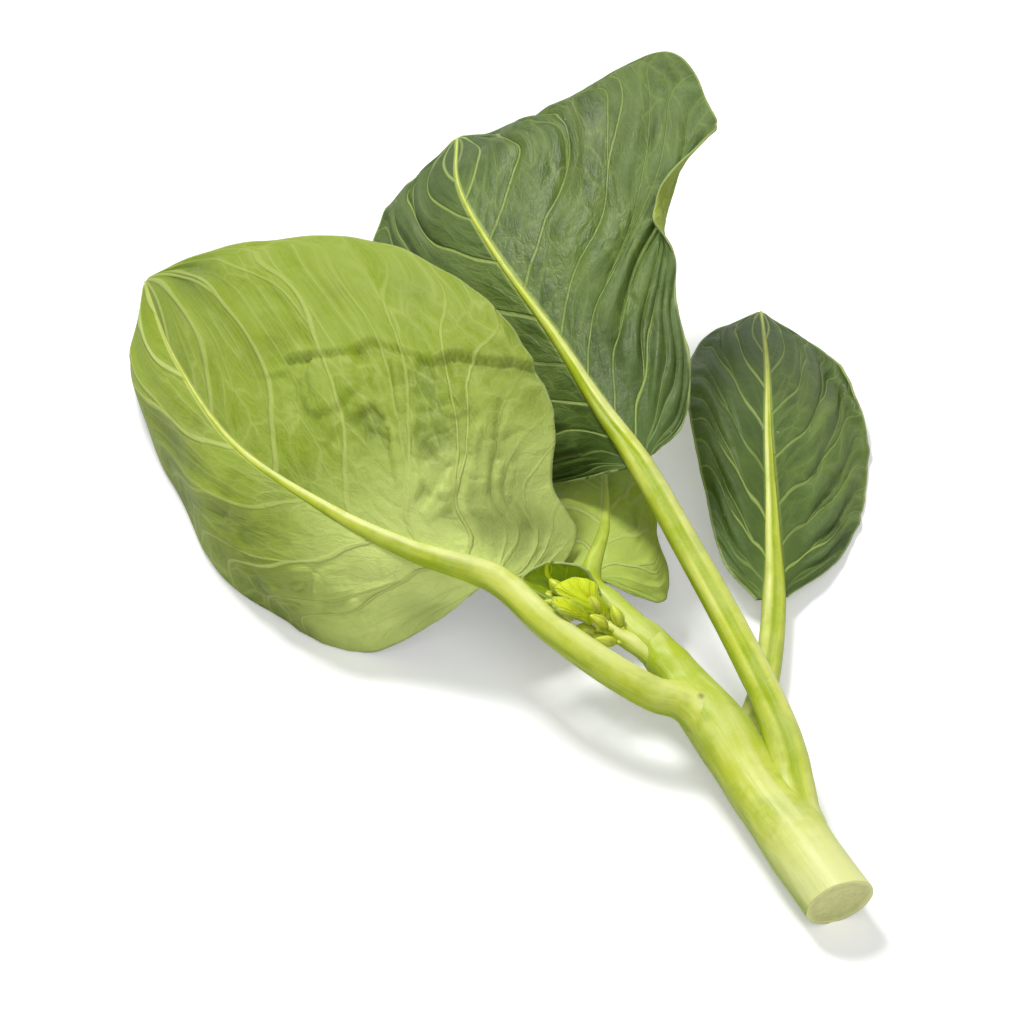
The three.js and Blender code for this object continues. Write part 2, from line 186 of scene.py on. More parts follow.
YOUNG_LEAVES = {
    "young_leaf_outer": {
        "side": 1,
        "belly": 1,
        "midrib": [(-4.5, 99, 21), (-6.5, 101, 24), (-8.5, 102.5, 27), (-9.5, 105, 29), (-9, 108.5, 29.5)],
        "right": [(-3, 99.5, 21), (-4, 101, 24), (-5.5, 102.5, 27), (-5, 105, 29), (-9, 108.5, 29.5)],
        "left": [(-6, 99, 21), (-9.5, 100, 24.5), (-12.5, 102, 27), (-14.5, 108, 29), (-9, 108.5, 29.5)],
        "rolls": [("right", 0.8, 0.12, 0.12, 80), ("left", 0.8, 0.12, 0.12, 60)],
        "seed": 40,
    },
    "young_leaf_inner": {
        "side": -1,
        "belly": -1,
        "midrib": [(-3, 97.5, 18.5), (-5.5, 105.5, 19.5), (-8.5, 111.5, 21.5), (-11.5, 116, 25),
                   (-11.5, 117, 29)],
        "right": [(-1, 98, 18.5), (-2.5, 105, 21.5), (-3, 108.5, 26), (-5, 111.5, 29), (-11.5, 117, 29)],
        "left": [(-4, 97.5, 18.5), (-9.5, 103.5, 20.5), (-15, 109.5, 24), (-19, 116, 27.5),
                 (-11.5, 117, 29)],
        "seed": 47,
    },
    "young_leaf_small": {
        "side": 1,
        "belly": 0.6,
        "midrib": [(-9.5, 98.5, 23), (-12.5, 99, 26.5), (-15, 99.5, 29), (-16.5, 101.5, 30),
                   (-17, 104.5, 30)],
        "right": [(-9, 99, 23), (-11, 100, 26.5), (-13, 101, 29), (-14.5, 102.5, 30), (-17, 104.5, 30)],
        "left": [(-10.5, 98.5, 23), (-14, 98.5, 26.5), (-17, 99, 29), (-18.5, 101.5, 30), (-17, 104.5, 30)],
        "rolls": [("left", 0.6, 0.3, 0.3, 120)],
        "seed": 53,
    },
}
for young_leaf in YOUNG_LEAVES.values():
    young_leaf.update(veins=4, lean=(0.45, 0.45), grid=(50, 80))
    young_leaf.update(puffs=0.15, pleats=0.12, wrinkles=(0.1, 0.1), folds=0.15)
for any_leaf in (*LEAVES.values(), *YOUNG_LEAVES.values()):
    for feature in ("rolls", "creases", "blisters"):
        any_leaf.setdefault(feature, [])
BLADE_END = 0.99
BLADE_MEASURES = ("along", "across", "vein_row", "vein_gap", "fork", "from_rib", "from_rim", "height")
MIDDLE_LEAF_PAINTED_LIGHT = 1.6  # painted light: the middle leaf is drawn paler than the others, to lift the shade the top leaf casts on it, but less so at its foot
MIDDLE_PALE_AND_LIT_FOOT = 0.3
# How strongly an underside's foot is made paler: partly its own paler colour, partly painted light against
# the shade its curve falls into.
PALE_AND_LIT_FOOT = 0.95
# Where the painted highlight along a rod's crown starts, as facing upwards, and how strong it is.
STALK_CROWN_HIGHLIGHT = (0.72, 0.85)
STEM_CROWN_HIGHLIGHT = (1.02, 0.6)
STEM_PALE_END = 0.35
CALM_FROM = 0.56  # beyond this place a blade without creases has hardly any wrinkles
LOWEST = 0.35  # the middle of a blade stays between these heights, in millimetres
HIGHEST = 70.5
ROLL_START = 0.76  # the share of the half blade from which its rim can curl over
LEAST_ROLL = 0.02
RAGGED_RIM = ((5.5, 0.03), (13, 0.012), (33, 0.007))  # waves along the rim, share of the width
FORK_START = 0.46  # the share of the half blade at which a side vein forks
FORK_AHEAD = 0.46
FORK_BEHIND = 0.14
FORKS = (FORK_BEHIND, -FORK_AHEAD)
ODD_VEINS = 0.45  # the left half's side veins leave the midrib this share of a gap away from the right's
VEIN_SPREAD = 0.8  # half the width of a side vein's ridge, in millimetres
# A crease's lip rises over a short length, and falls off slowly in part and fast in part. Each part
# and the trough before the lip have a share of the crease's height and a length in millimetres.
LIP_STEP = 0.7
LIP_SLOW = (0.6, 18)
LIP_FAST = (0.4, 2.5)
TROUGH = (0.5, 3)
ROUTE_STEPS = 200
HEADING_STEP = 0.005
ROW_STEP = 0.01
# The sizes of a blade's unevennesses, in millimetres.
DRIFT_SIZE = 14
DRIFT_REACH = 6
GATHERED_SIZE = 26
SWELL_SIZE = 10
SMALL_SIZE = 4.6
GROOVE_SIZE = 8
GROOVE_WIDTH = 0.07
FOLD_SIZE = 30
PLEAT_LENGTH = 45
RAGGED_SIZE = 6
PLEAT_MIDDLE = 0.45  # so that a pleat's crests and troughs even out
DRIFT_APART = (11, 47, 83)  # the three noises of the wrinkles' drift lie this far apart


# ---- Curves ----


def smoothstep(low, high, value):
    share = min(1, max(0, (value - low) / (high - low)))
    return share * share * (3 - 2 * share)


def mix(a, b, share):
    return a + (b - a) * share


def noise_at(x, y, z):
    """Smooth noise, about -1 to 1 and the same in every run."""
    return noise.noise(Vector((x, y, z)))


def bumps(place, size, x=0, y=0):
    """The same noise, with bumps of this size round a place. Other x and y give other bumps."""
    return noise.noise(place / size + Vector((x, y, 0)))


def drift(place):
    """A smooth field that pushes wrinkles out of line."""
    return DRIFT_REACH * Vector([bumps(place, DRIFT_SIZE, apart) for apart in DRIFT_APART])


class Route:
    """A smooth curve through points, measured from 0 to 1 either by point or by length."""

    def __init__(self, points):
        self.points = [Vector(point) for point in points]
        trail = [self.by_point(index / ROUTE_STEPS) for index in range(ROUTE_STEPS + 1)]
        self.lengths = [0.0]
        for before, after in zip(trail, trail[1:]):
            self.lengths.append(self.lengths[-1] + (after - before).length)
        self.length = self.lengths[-1]

    def by_point(self, share):
        spans = len(self.points) - 1
        place = min(max(share, 0), 1) * spans
        index = min(int(place), spans - 1)
        t = place - index
        p1, p2 = self.points[index], self.points[index + 1]
        p0 = self.points[index - 1] if index > 0 else 2 * p1 - p2
        p3 = self.points[index + 2] if index + 2 <= spans else 2 * p2 - p1
        m1, m2 = (p2 - p0) / 2, (p3 - p1) / 2
        return p1 + m1 * t + (3 * (p2 - p1) - 2 * m1 - m2) * t**2 + (2 * (p1 - p2) + m1 + m2) * t**3

    def share_at(self, reach):
        """The by_point share that lies at this share of the length."""
        wanted = min(max(reach, 0), 1) * self.length
        high = min(bisect_right(self.lengths, wanted), ROUTE_STEPS)
        before, after = self.lengths[high - 1], self.lengths[high]
        return (high - 1 + (wanted - before) / (after - before or 1)) / ROUTE_STEPS

    def at(self, reach):
        return self.by_point(self.share_at(reach))

    def heading(self, reach):
        return (self.at(min(reach + HEADING_STEP, 1)) - self.at(max(reach - HEADING_STEP, 0))).normalized()


class Rod:
    """A round rod along a route, which can say how far a place is from its skin."""

    def __init__(self, route, radius_at):
        self.route = route
        self.radius_at = radius_at
        steps = int(route.length * 2)
        self.radii = [radius_at(index / steps) for index in range(steps + 1)]
        self.tree = KDTree(steps + 1)
        for index in range(steps + 1):
            self.tree.insert(route.at(index / steps), index)
        self.tree.balance()

    def distance(self, place):
        middle, index, length = self.tree.find(place)
        return length - self.radii[index], (place - middle) / max(length, 1e-6)


def fuse(bm, own, others, reach):
    """Moves the skin of one rod so that it flows into the others, over this reach in millimetres."""
    changed = []
    for vert in bm.verts:
        start, away = own.distance(vert.co)
        near = [other for other in others if other.distance(vert.co)[0] < reach]
        moved = 0
        for _ in range(FUSE_STEPS):
            place = vert.co + away * moved
            union, sunk = own.distance(place)[0], 0
            mine = union
            for other in near:
                theirs = other.distance(place)[0]
                overlap = max(reach - abs(union - theirs), 0) / reach
                sunk = max(sunk, smoothstep(0, reach, mine - theirs))
                union = min(union, theirs) - overlap * overlap * reach / 4
            wanted = start - sunk * reach * FUSE_SINK
            moved = min(reach * FUSE_RISE, max(-reach * FUSE_SINK, moved - (union - wanted) * FUSE_STEP))
            if sunk > COVERED:
                moved = -reach * COVERED_SINK
        if near:
            vert.co += away * moved
            changed.append(vert)
    all_axes = {f"use_axis_{axis}": True for axis in "xyz"}
    for _ in range(FUSE_SMOOTHINGS):
        bmesh.ops.smooth_vert(bm, verts=changed, factor=0.5, **all_axes)


# ---- Meshes ----


def mesh_from(bm, name):
    mesh = bpy.data.meshes.new(name)
    bm.to_mesh(mesh)
    bm.free()
    return mesh


def placed(name, data):
    """A new object in the scene, which stays at the origin unless the stage moves it."""
    thing = bpy.data.objects.new(name, data)
    bpy.context.scene.collection.objects.link(thing)
    return thing


def finished(bm, name, materials, replaced, slot):
    """Turns a bmesh in millimetres into a piece in metres, centred like the frame."""
    bmesh.ops.translate(bm, vec=-MIDDLE, verts=bm.verts)
    bmesh.ops.scale(bm, vec=(MM, MM, MM), verts=bm.verts)
    mesh = mesh_from(bm, name)
    for material in materials:
        mesh.materials.append(material_named(material))
    for polygon in mesh.polygons:
        polygon.use_smooth = True
    piece = placed(name, mesh)
    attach(piece, "root")
    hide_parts(replaced)
    return piece


def grid_mesh(columns, rows):
    """A grid whose vertices hold their place: x from -1 to 1 across, y from 0 to 1 along."""
    bm = bmesh.new()
    bm.loops.layers.uv.new("UVMap")
    bmesh.ops.create_grid(bm, x_segments=columns, y_segments=rows, size=1, calc_uvs=True)
    bmesh.ops.scale(bm, vec=(1, 0.5, 1), verts=bm.verts)
    bmesh.ops.translate(bm, vec=(0, 0.5, 0), verts=bm.verts)
    return bm


def rod_mesh(rod, sides, rows, top=None, shape=None):
    """A closed rod. top(reach) is the direction that angle 0 faces, shape its uneven cross-section."""
    bm = grid_mesh(sides, rows)
    along, facing, ridge = (bm.verts.layers.float.new(name) for name in ("along", "facing", "ridge"))
    skin = bm.verts.layers.float_vector.new("skin")

    @lru_cache(maxsize=None)
    def ring(reach):
        middle = rod.route.at(reach)
        heading = rod.route.heading(reach)
        upwards = top(reach) if top else Vector((0, 0, 1))
        sideways = heading.cross(upwards).normalized()
        return middle, sideways, sideways.cross(heading), rod.radius_at(reach)

    for vert in bm.verts:
        angle = pi * vert.co.x
        reach = round(vert.co.y, 6)
        middle, sideways, upwards, radius = ring(reach)
        if shape:
            vert[ridge] = shape(reach, angle) - 1
            radius *= 1 + vert[ridge]
        vert[along] = reach
        vert[skin] = Vector((cos(angle) * radius, sin(angle) * radius, reach * rod.route.length))
        outwards = upwards * cos(angle) + sideways * sin(angle)
        vert[facing] = outwards.z
        vert.co = middle + outwards * radius
    bmesh.ops.remove_doubles(bm, verts=bm.verts, dist=0.001)
    rims = [edge for edge in bm.edges if edge.is_boundary]
    bmesh.ops.holes_fill(bm, edges=rims, sides=0)
    bmesh.ops.recalc_face_normals(bm, faces=bm.faces)
    return bm


# ---- Blades ----


class Blade:
    """The middle surface of a leaf, in millimetres, with the measures its veins are drawn by."""

    def __init__(self, leaf):
        self.leaf = leaf
        self.sizes = bpy.context.scene.shoot_sizes
        self.midrib, self.left, self.right = (Route(leaf[line]) for line in ("midrib", "left", "right"))
        self.row = lru_cache(maxsize=None)(self._row)
        self.blisters = [(self.base(*middle), radius, rise) for middle, radius, rise in leaf["blisters"]]

    def _row(self, along):
        """A place on the midrib, the ways from it to the left and the right rim, and upwards."""
        middle, left, right = (line.by_point(along) for line in (self.midrib, self.left, self.right))
        after = self.midrib.by_point(min(along + ROW_STEP, 1))
        ahead = after - self.midrib.by_point(max(along - ROW_STEP, 0))
        return middle, left - middle, right - middle, (right - left).cross(ahead).normalized()

    def half(self, pair, across):
        """What a pair of things for the left and the right half says of this half."""
        return pair[0 if across < 0 else 1]

    def width(self, along, across):
        return self.half(self.row(along)[1:3], across).length

    def rib_at(self, along):
        return rib_radius(self.leaf, along) if "taper" in self.leaf else 0

    def roll_at(self, margin, along):
        angle = 0
        for name, place, before, after, degrees in self.leaf["rolls"]:
            if name == margin:
                spread = before if along < place else after
                angle += radians(degrees) * exp(-(((along - place) / spread) ** 2))
        return angle

    def base(self, along, across):
        """A point of the smooth surface, before veins and blisters."""
        middle, *sideways, upwards = self.row(along)
        reach = abs(across)
        outwards = self.half(sideways, across)
        ends = sin(pi * min(1, max(0, along))) ** 0.5
        seed = self.leaf["seed"]
        ragged = 0
        for waves, strength in RAGGED_RIM:
            ragged += strength * noise_at(along * waves, seed + waves, across * 0.3)
        outwards = outwards * (1 + ragged * ends * reach**3)
        roll = self.roll_at(self.half(("left", "right"), across), along)
        if reach <= ROLL_START or roll < LEAST_ROLL:
            return middle + outwards * reach + upwards * self.belly(along, reach)
        rolled = (reach - ROLL_START) / (1 - ROLL_START)
        turn = roll * (reach - ROLL_START) / (1 - ROLL_START)
        radius = outwards.length * (1 - ROLL_START) / roll
        belly = self.belly(along, ROLL_START) * (1 - rolled)
        return (
            middle
            + outwards * ROLL_START
            + outwards.normalized() * radius * sin(turn)
            + upwards * (belly + radius * (1 - cos(turn)) * -self.leaf["side"])
        )

    def belly(self, along, reach):
        return self.leaf["belly"] * 4 * reach * (1 - reach) * sin(pi * along)

    def vein_row(self, along, across):
        """Whole numbers are side veins: they leave the midrib in turn on either side."""
        reach = abs(across)
        seed = self.leaf["seed"]
        lean = self.half(self.leaf["lean"], across)
        sway = 0.030 * sin(7 * reach + 6 * along + seed) + 0.014 * sin(19 * reach + seed * 2 + 5 * along)
        offset = self.half((ODD_VEINS, 0), across)
        return (along - lean * reach**1.1 + sway * reach) * self.leaf["veins"] + offset + 10

    def fork(self, row, reach):
        """How far a side vein's two branches have parted, from 0 to 1."""
        start = FORK_START + 0.09 * sin(2.4 * row + self.leaf["seed"])
        return max(0, (reach - start) / (1 - start)) ** 0.8

    def gap(self, along, across):
        """The distance from one side vein to the next, in millimetres."""
        lean = self.half(self.leaf["lean"], across)
        width = max(self.width(along, across), 1)
        return 1 / (self.leaf["veins"] * hypot(1 / self.midrib.length, lean / width))

    def creases(self, across):
        """The creases met on this line from foot to tip: each one's place along it, strength and height."""
        reach = abs(across)
        for margin, points, rise in self.leaf["creases"]:
            if margin != self.half(("left", "right"), across):
                continue
            line = points[0][0]
            for (start, low), (end, high) in zip(points, points[1:]):
                if reach > low:
                    line = mix(start, end, smoothstep(low, high, reach))
            line += 0.016 * noise_at(reach * 9, 0, 0)
            line += 0.006 * noise_at(reach * 27, 0, 7)
            first = points[0][1]
            fade = smoothstep(first, first + 0.2, reach) * (1 + 0.7 * noise_at(reach * 7, 0, 3))
            yield line, fade, rise

    def crease(self, along, across):
        """Height of the ledges: a sharp lip that falls off towards the tip, and a trough before it."""
        height = 0
        for line, fade, rise in self.creases(across):
            past = (along - line) * self.midrib.length
            step = rise * fade * min(1, abs(past) / LIP_STEP)
            if past > 0:
                height += step * sum(share * exp(-past / length) for share, length in (LIP_SLOW, LIP_FAST))
            else:
                height -= step * TROUGH[0] * exp(past / TROUGH[1])
        return height

    def relief(self, along, across, place):
        """Height of the surface over its smooth base, in millimetres."""
        leaf = self.leaf
        reach = abs(across)
        row = self.vein_row(along, across)
        fork = self.fork(row, reach)
        offs = [abs(row + shift * fork - round(row + shift * fork)) for shift in FORKS]
        off_vein = min(offs) if fork > 0 else offs[0]
        from_rib = reach * (place - self.row(along)[0]).length
        beyond = from_rib - self.rib_at(along)
        inside = smoothstep(-0.5, 5, beyond) * (1 - 0.6 * smoothstep(0.7, 1, reach))
        inside *= smoothstep(0.02, 0.28, along) * (1 - smoothstep(0.9, 1, along))
        puff = leaf["puffs"] * self.sizes.puff_height / MM * smoothstep(0, 0.4, off_vein) * inside
        from_vein = off_vein * self.gap(along, across)
        ridge = self.sizes.vein_height / MM * exp(-((from_vein / VEIN_SPREAD) ** 2)) * (1.1 - reach) * inside

        pleat = self.pleat(row, from_rib)
        wrinkle = self.wrinkle(along, across, place, off_vein)
        fold = bumps(place, FOLD_SIZE, leaf["seed"] * 2)
        rough = leaf["pleats"] * pleat * 1.1 + wrinkle * 0.9 + leaf["folds"] * fold * 2
        rough *= self.sizes.blister_height / MM * smoothstep(0, 9, beyond)
        rough *= 1 - 0.4 * smoothstep(0.8, 1, reach)
        rough *= smoothstep(-0.05, 0.2, along)
        return leaf["side"] * (ridge - puff * 0.8) + rough + self.blister(place) + self.ruffle(along, across)

    def pleat(self, row, from_rib):
        """Sharp-crested waves drawn out along the side veins."""
        drawn_out = Vector((row * 2.0, from_rib / PLEAT_LENGTH, self.leaf["seed"]))
        return PLEAT_MIDDLE - 1.7 * abs(noise.noise(drawn_out)) + 0.5 * noise.noise(drawn_out * 2.3)

    def wrinkle(self, along, across, place, off_vein):
        """Puckered cushions and grooves between the side veins, up to the first crease from the tip."""
        seed = self.leaf["seed"]
        shifted = place + drift(place)
        gathered = smoothstep(-0.3, 0.2, bumps(place, GATHERED_SIZE, 0, seed))
        swell = smoothstep(-0.13, 0.11, bumps(shifted, SWELL_SIZE, seed))
        small = bumps(shifted, SMALL_SIZE, seed, 7)
        groove = exp(-((bumps(shifted, GROOVE_SIZE, seed, 3) / GROOVE_WIDTH) ** 2))
        height = (swell * 1.9 + small * 0.7 - groove * 0.6) * (0.5 + 0.5 * gathered)
        height *= smoothstep(0, 0.16, off_vein)
        height *= self.half(self.leaf["wrinkles"], across)
        calm = max((line for line, _, _ in self.creases(across)), default=CALM_FROM)
        height *= (1 - 0.85 * smoothstep(calm - 0.08, calm + 0.04, along)) * smoothstep(0.18, 0.34, along)
        return height * (1 - 0.8 * smoothstep(0.66, 0.95, abs(across)))

    def blister(self, place):
        ragged = 0.3 * bumps(place, RAGGED_SIZE)
        height = 0
        for middle, radius, rise in self.blisters:
            height += rise * (1 - smoothstep(0.75, 1.1, (place - middle).length / radius + ragged))
        return height

    def ruffle(self, along, across):
        """Waves of the rim, up and down."""
        seed = self.leaf["seed"]
        waves = noise_at(along * 6.5, across * 0.5, seed + 0.5) * 1.5
        waves += noise_at(along * 13, across * 0.5, seed + 9.5) * 0.6
        strength = self.leaf["folds"] * self.sizes.ruffle_height / MM
        ends = sin(pi * min(1, max(0, along)))
        return strength * waves * smoothstep(0.5, 1, abs(across)) ** 1.5 * ends

    def mesh(self):
        columns, rows = self.leaf["grid"]
        bm = grid_mesh(columns, rows)
        layers = {name: bm.verts.layers.float.new(name) for name in BLADE_MEASURES}
        measures = []
        for vert in bm.verts:
            across = (1 if vert.co.x > 0 else -1) * abs(vert.co.x) ** 1.15
            along = round(vert.co.y * BLADE_END, 6)
            measures.append((along, across))
            vert.co = self.base(along, across)
        bm.normal_update()
        facing = 0
        heights = []
        for vert, (along, across) in zip(bm.verts, measures):
            facing += vert.normal.dot(self.row(along)[3])
            width = self.width(along, across)
            row = self.vein_row(along, across)
            height = self.relief(along, across, vert.co) + self.leaf["side"] * self.crease(along, across)
            from_rim = min((1 - abs(across)) * width, (1 - along) * self.midrib.length)
            gap = self.gap(along, across)
            fork = self.fork(row, abs(across))
            values = (along, across, row, gap, fork, abs(across) * width, from_rim, height)
            for name, value in zip(BLADE_MEASURES, values):
                vert[layers[name]] = value
            heights.append(height)
        facing = 1 if facing > 0 else -1
        normals = [vert.normal.copy() for vert in bm.verts]
        for vert, height, normal in zip(bm.verts, heights, normals):
            vert.co += normal * height * facing
            # The height bends smoothly into its lowest and its highest value.
            low, high = vert.co.z - LOWEST - 1, vert.co.z - HIGHEST + 2
            if low < 0:
                vert.co.z = LOWEST + exp(low)
            if high > 0:
                vert.co.z = HIGHEST - 2 * exp(-high / 2)
        if facing < 0:
            bmesh.ops.reverse_faces(bm, faces=bm.faces)
        return bm


def rib_radius(leaf, along):
    return mix(MIDRIB_TIP_RADIUS, leaf["foot_radius"], (1 - along) ** leaf["taper"])


def build_blade(name, leaf, thickness, sides, replaced, slot):
    """Builds a blade with its own thickness. sides are the materials of its upper side and underside."""
    if leaf["side"] > 0:
        sides = sides[::-1]
    piece = finished(Blade(leaf).mesh(), name + "_lamina", sides, replaced, slot)
    wall = piece.modifiers.new("thickness", "SOLIDIFY")
    wall.thickness = thickness
    wall.offset = 0
    wall.use_even_offset = False
    wall.material_offset = 1
    wall.material_offset_rim = 0


# ---- Node trees ----


class Wire:
    """A node's output. Sums and products of wires become math nodes."""

    def __init__(self, tree, socket):
        self.tree = tree
        self.socket = socket

    def __add__(self, other):
        return self.tree.maths("ADD", self, other)

    def __sub__(self, other):
        return self.tree.maths("SUBTRACT", self, other)

    def __rsub__(self, other):
        return self.tree.maths("SUBTRACT", other, self)

    def __mul__(self, other):
        return self.tree.maths("MULTIPLY", self, other)

    def __truediv__(self, other):
        return self.tree.maths("DIVIDE", self, other)

    def __rtruediv__(self, other):
        return self.tree.maths("DIVIDE", other, self)

    def __abs__(self):
        return self.tree.maths("ABSOLUTE", self)


class Nodes:
    """Short calls for building a node tree, which starts empty."""

    def __init__(self, tree):
        self.tree = tree
        tree.nodes.clear()

    def output(self, node, key=0):
        return Wire(self, node.outputs[key])

    def link(self, node, key, value):
        """Links a wire to one input, which is given by name or number, or sets its number."""
        if isinstance(value, Wire):
            self.tree.links.new(value.socket, node.inputs[key])
        else:
            node.inputs[key].default_value = value

    def feed(self, node, **inputs):
        """Links wires to a node's inputs or sets their numbers. A _ stands for a space in their names."""
        for key, value in inputs.items():
            self.link(node, key.replace("_", " "), value)

    def add(self, kind, settings=None, **inputs):
        node = self.tree.nodes.new(kind)
        for key, value in (settings or {}).items():
            setattr(node, key, value)
        self.feed(node, **inputs)
        return node

    def listed(self, node, *values, key=0):
        """The output of a node whose inputs are filled in their order."""
        for index, value in enumerate(values):
            self.link(node, index, value)
        return self.output(node, key)

    def maths(self, operation, *values, clamp=False):
        return self.listed(self.add("ShaderNodeMath", {"operation": operation, "use_clamp": clamp}), *values)

    def vector_maths(self, operation, *values, key=0):
        return self.listed(self.add("ShaderNodeVectorMath", {"operation": operation}), *values, key=key)

    def ramp(self, value, low, high, start=0.0, end=1.0, smooth=True):
        """value taken from low..high to start..end, held inside that range."""
        node = self.add("ShaderNodeMapRange", {"interpolation_type": "SMOOTHSTEP" if smooth else "LINEAR"})
        return self.listed(node, value, low, high, start, end)

    def blend(self, share, first, second):
        node = self.add("ShaderNodeMix", {"data_type": "RGBA"})
        for index, value in ((0, share), (6, first), (7, second)):
            self.link(node, index, value)
        return self.output(node, 2)

    def noise(self, vector, scale, detail=3.0, roughness=0.55, distortion=0.0):
        node = self.add("ShaderNodeTexNoise", Vector=vector, Scale=scale, Detail=detail)
        self.feed(node, Roughness=roughness, Distortion=distortion)
        return self.output(node, "Fac")

    def cell_edges(self, vector, scale):
        node = self.add("ShaderNodeTexVoronoi", {"feature": "DISTANCE_TO_EDGE"}, Vector=vector, Scale=scale)
        return self.output(node, "Distance")

    def attribute(self, name, key="Fac"):
        return self.output(self.add("ShaderNodeAttribute", {"attribute_name": name}), key)

    def group(self, name, **inputs):
        node = self.add("ShaderNodeGroup", {"node_tree": shared_groups()[name]}, **inputs)
        return {socket.name: Wire(self, socket) for socket in node.outputs}

    def bump(self, shader, height, strength, distance):
        node = self.add("ShaderNodeBump", Strength=strength, Distance=distance, Height=height)
        self.feed(shader, Normal=self.output(node))


def node_group(name, inputs, outputs):
    """A shader node group, its tree, its inputs' wires and the node that takes its results."""
    group = bpy.data.node_groups.new(name, "ShaderNodeTree")
    tree = Nodes(group)
    for socket_name, default in inputs.items():
        kind = "NodeSocketVector" if default is None else "NodeSocketFloat"
        socket = group.interface.new_socket(socket_name, in_out="INPUT", socket_type=kind)
        if default is not None:
            socket.default_value = default
    for socket_name in outputs:
        group.interface.new_socket(socket_name, in_out="OUTPUT", socket_type="NodeSocketFloat")
    entry = tree.add("NodeGroupInput")
    given = {socket.name: Wire(tree, socket) for socket in entry.outputs if socket.name}
    return group, tree, given, tree.add("NodeGroupOutput")


def vein_group():
    """A leaf's veins: forking side veins, the midrib's band, and the net between them."""
    floats = ("Row", "Gap", "Fork", "Across", "Along", "From Rib", "Vein Width", "Rib Width", "Net Size")
    group, tree, given, leave = node_group(
        "leaf_veins",
        dict.fromkeys(floats, 1.0),
        ("Side Veins", "Midrib", "Net", "Fine Net", "Cushions"),
    )
    reach = abs(given["Across"])
    side = tree.maths("SIGN", given["Across"]) * 9.0
    net_row = given["Row"] * 16.0 / given["Net Size"]
    net_reach = given["From Rib"] / given["Net Size"]
    flat = tree.output(tree.add("ShaderNodeCombineXYZ", X=net_row, Y=net_reach, Z=side))
    warp = tree.add("ShaderNodeTexNoise", Vector=flat, Scale=0.8, Detail=2.0)
    warped = tree.vector_maths("MULTIPLY_ADD", tree.output(warp, "Color"), (1.1, 1.1, 0.0), flat)

    row = given["Row"] + (tree.noise(flat, 0.9, 2.0) - 0.5) * 0.11
    width = given["Vein Width"] * tree.ramp(reach, 0.0, 1.0, 1.0, 0.42, smooth=False)
    lines = []
    for shift in (FORK_BEHIND, -FORK_AHEAD):
        here = row + given["Fork"] * shift
        nearest = tree.maths("ROUND", here)
        distance = abs(here - nearest) * given["Gap"] / width
        chance = tree.add("ShaderNodeTexWhiteNoise", {"noise_dimensions": "1D"}, W=nearest + side)
        strength = tree.ramp(tree.output(chance, "Value"), 0.0, 1.0, 0.45, 1.0)
        lines.append(tree.ramp(distance, 0.35, 1.15, 1.0, 0.0) * strength)
    forked = lines[1] * tree.ramp(given["Fork"], 0.0, 0.1, 0.0, 0.8)
    side_veins = tree.maths("MAXIMUM", lines[0], forked) * tree.ramp(reach, 0.6, 1.0, 1.0, 0.3)
    tree.feed(leave, Side_Veins=side_veins * tree.ramp(given["Along"], 0.0, 0.16, 0.3, 1.0))

    taper = tree.maths("POWER", tree.maths("SUBTRACT", 1.0, given["Along"], clamp=True), 1.2)
    band = taper * given["Rib Width"] + 0.5
    tree.feed(leave, Midrib=tree.ramp(given["From Rib"] / band, 0.7, 1.3, 1.0, 0.0))

    # The net fades where side veins run close together, or it would look combed.
    roomy = tree.ramp(given["Gap"], 4.0, 12.0, 0.15, 1.0)
    some = tree.ramp(tree.noise(flat, 0.5, 2.0), 0.35, 0.6, 0.25, 1.0) * roomy
    edge = tree.cell_edges(warped, 1.0)
    fine_edge = tree.cell_edges(warped, 3.6)
    tree.feed(leave, Net=tree.ramp(edge, 0.0, 0.07, 1.0, 0.0) * some)
    tree.feed(leave, Fine_Net=tree.ramp(fine_edge, 0.0, 0.2, 1.0, 0.0) * roomy)
    tree.feed(leave, Cushions=1.0 - tree.ramp(edge, 0.0, 0.42, 1.0, 0.0) * roomy)
    return group


def bloom_group():
    """The patchy wax on a brassica's skin, and the places where it is rubbed off."""
    group, tree, given, leave = node_group(
        "waxy_bloom",
        {"Vector": None, "Patch": 0.02, "Amount": 0.5},
        ("Bloom",),
    )
    scale = 1.0 / given["Patch"]
    broad = tree.noise(given["Vector"], scale, 4.0, 0.6, 0.4)
    grain = tree.noise(given["Vector"], scale * 14.0, 3.0, 0.7)
    tree.feed(leave, Bloom=tree.ramp(broad * 0.75 + grain * 0.25, 0.36, 0.66) * given["Amount"])
    return group


def speck_group():
    """Scattered pale specks of dust and tiny scars."""
    group, tree, given, leave = node_group(
        "specks",
        {"Vector": None, "Spacing": 0.004, "Share": 0.3},
        ("Specks",),
    )
    scale = 1.0 / given["Spacing"]
    cells = tree.add("ShaderNodeTexVoronoi", {"feature": "F1"}, Vector=given["Vector"], Scale=scale)
    parted = tree.add("ShaderNodeSeparateColor", Color=tree.output(cells, "Color"))
    chosen = tree.maths("LESS_THAN", tree.output(parted), given["Share"])
    tree.feed(leave, Specks=tree.ramp(tree.output(cells, "Distance"), 0.05, 0.12, 1.0, 0.0) * chosen)
    return group


@lru_cache(maxsize=None)
def shared_groups():
    return {"veins": vein_group(), "bloom": bloom_group(), "specks": speck_group()}


# ---- Materials ----


def new_material(name):
    """A material with its tree, its shader and the place in the object that is being shaded."""
    material = bpy.data.materials.new(name)
    material.use_nodes = True
    tree = Nodes(material.node_tree)
    shader = tree.add("ShaderNodeBsdfPrincipled")
    tree.add("ShaderNodeOutputMaterial", Surface=tree.output(shader))
    return material, tree, shader, tree.output(tree.add("ShaderNodeTexCoord"), "Object")


def rgba(colour, gain=1.0):
    return (colour[0] * gain, colour[1] * gain, colour[2] * gain, 1.0)


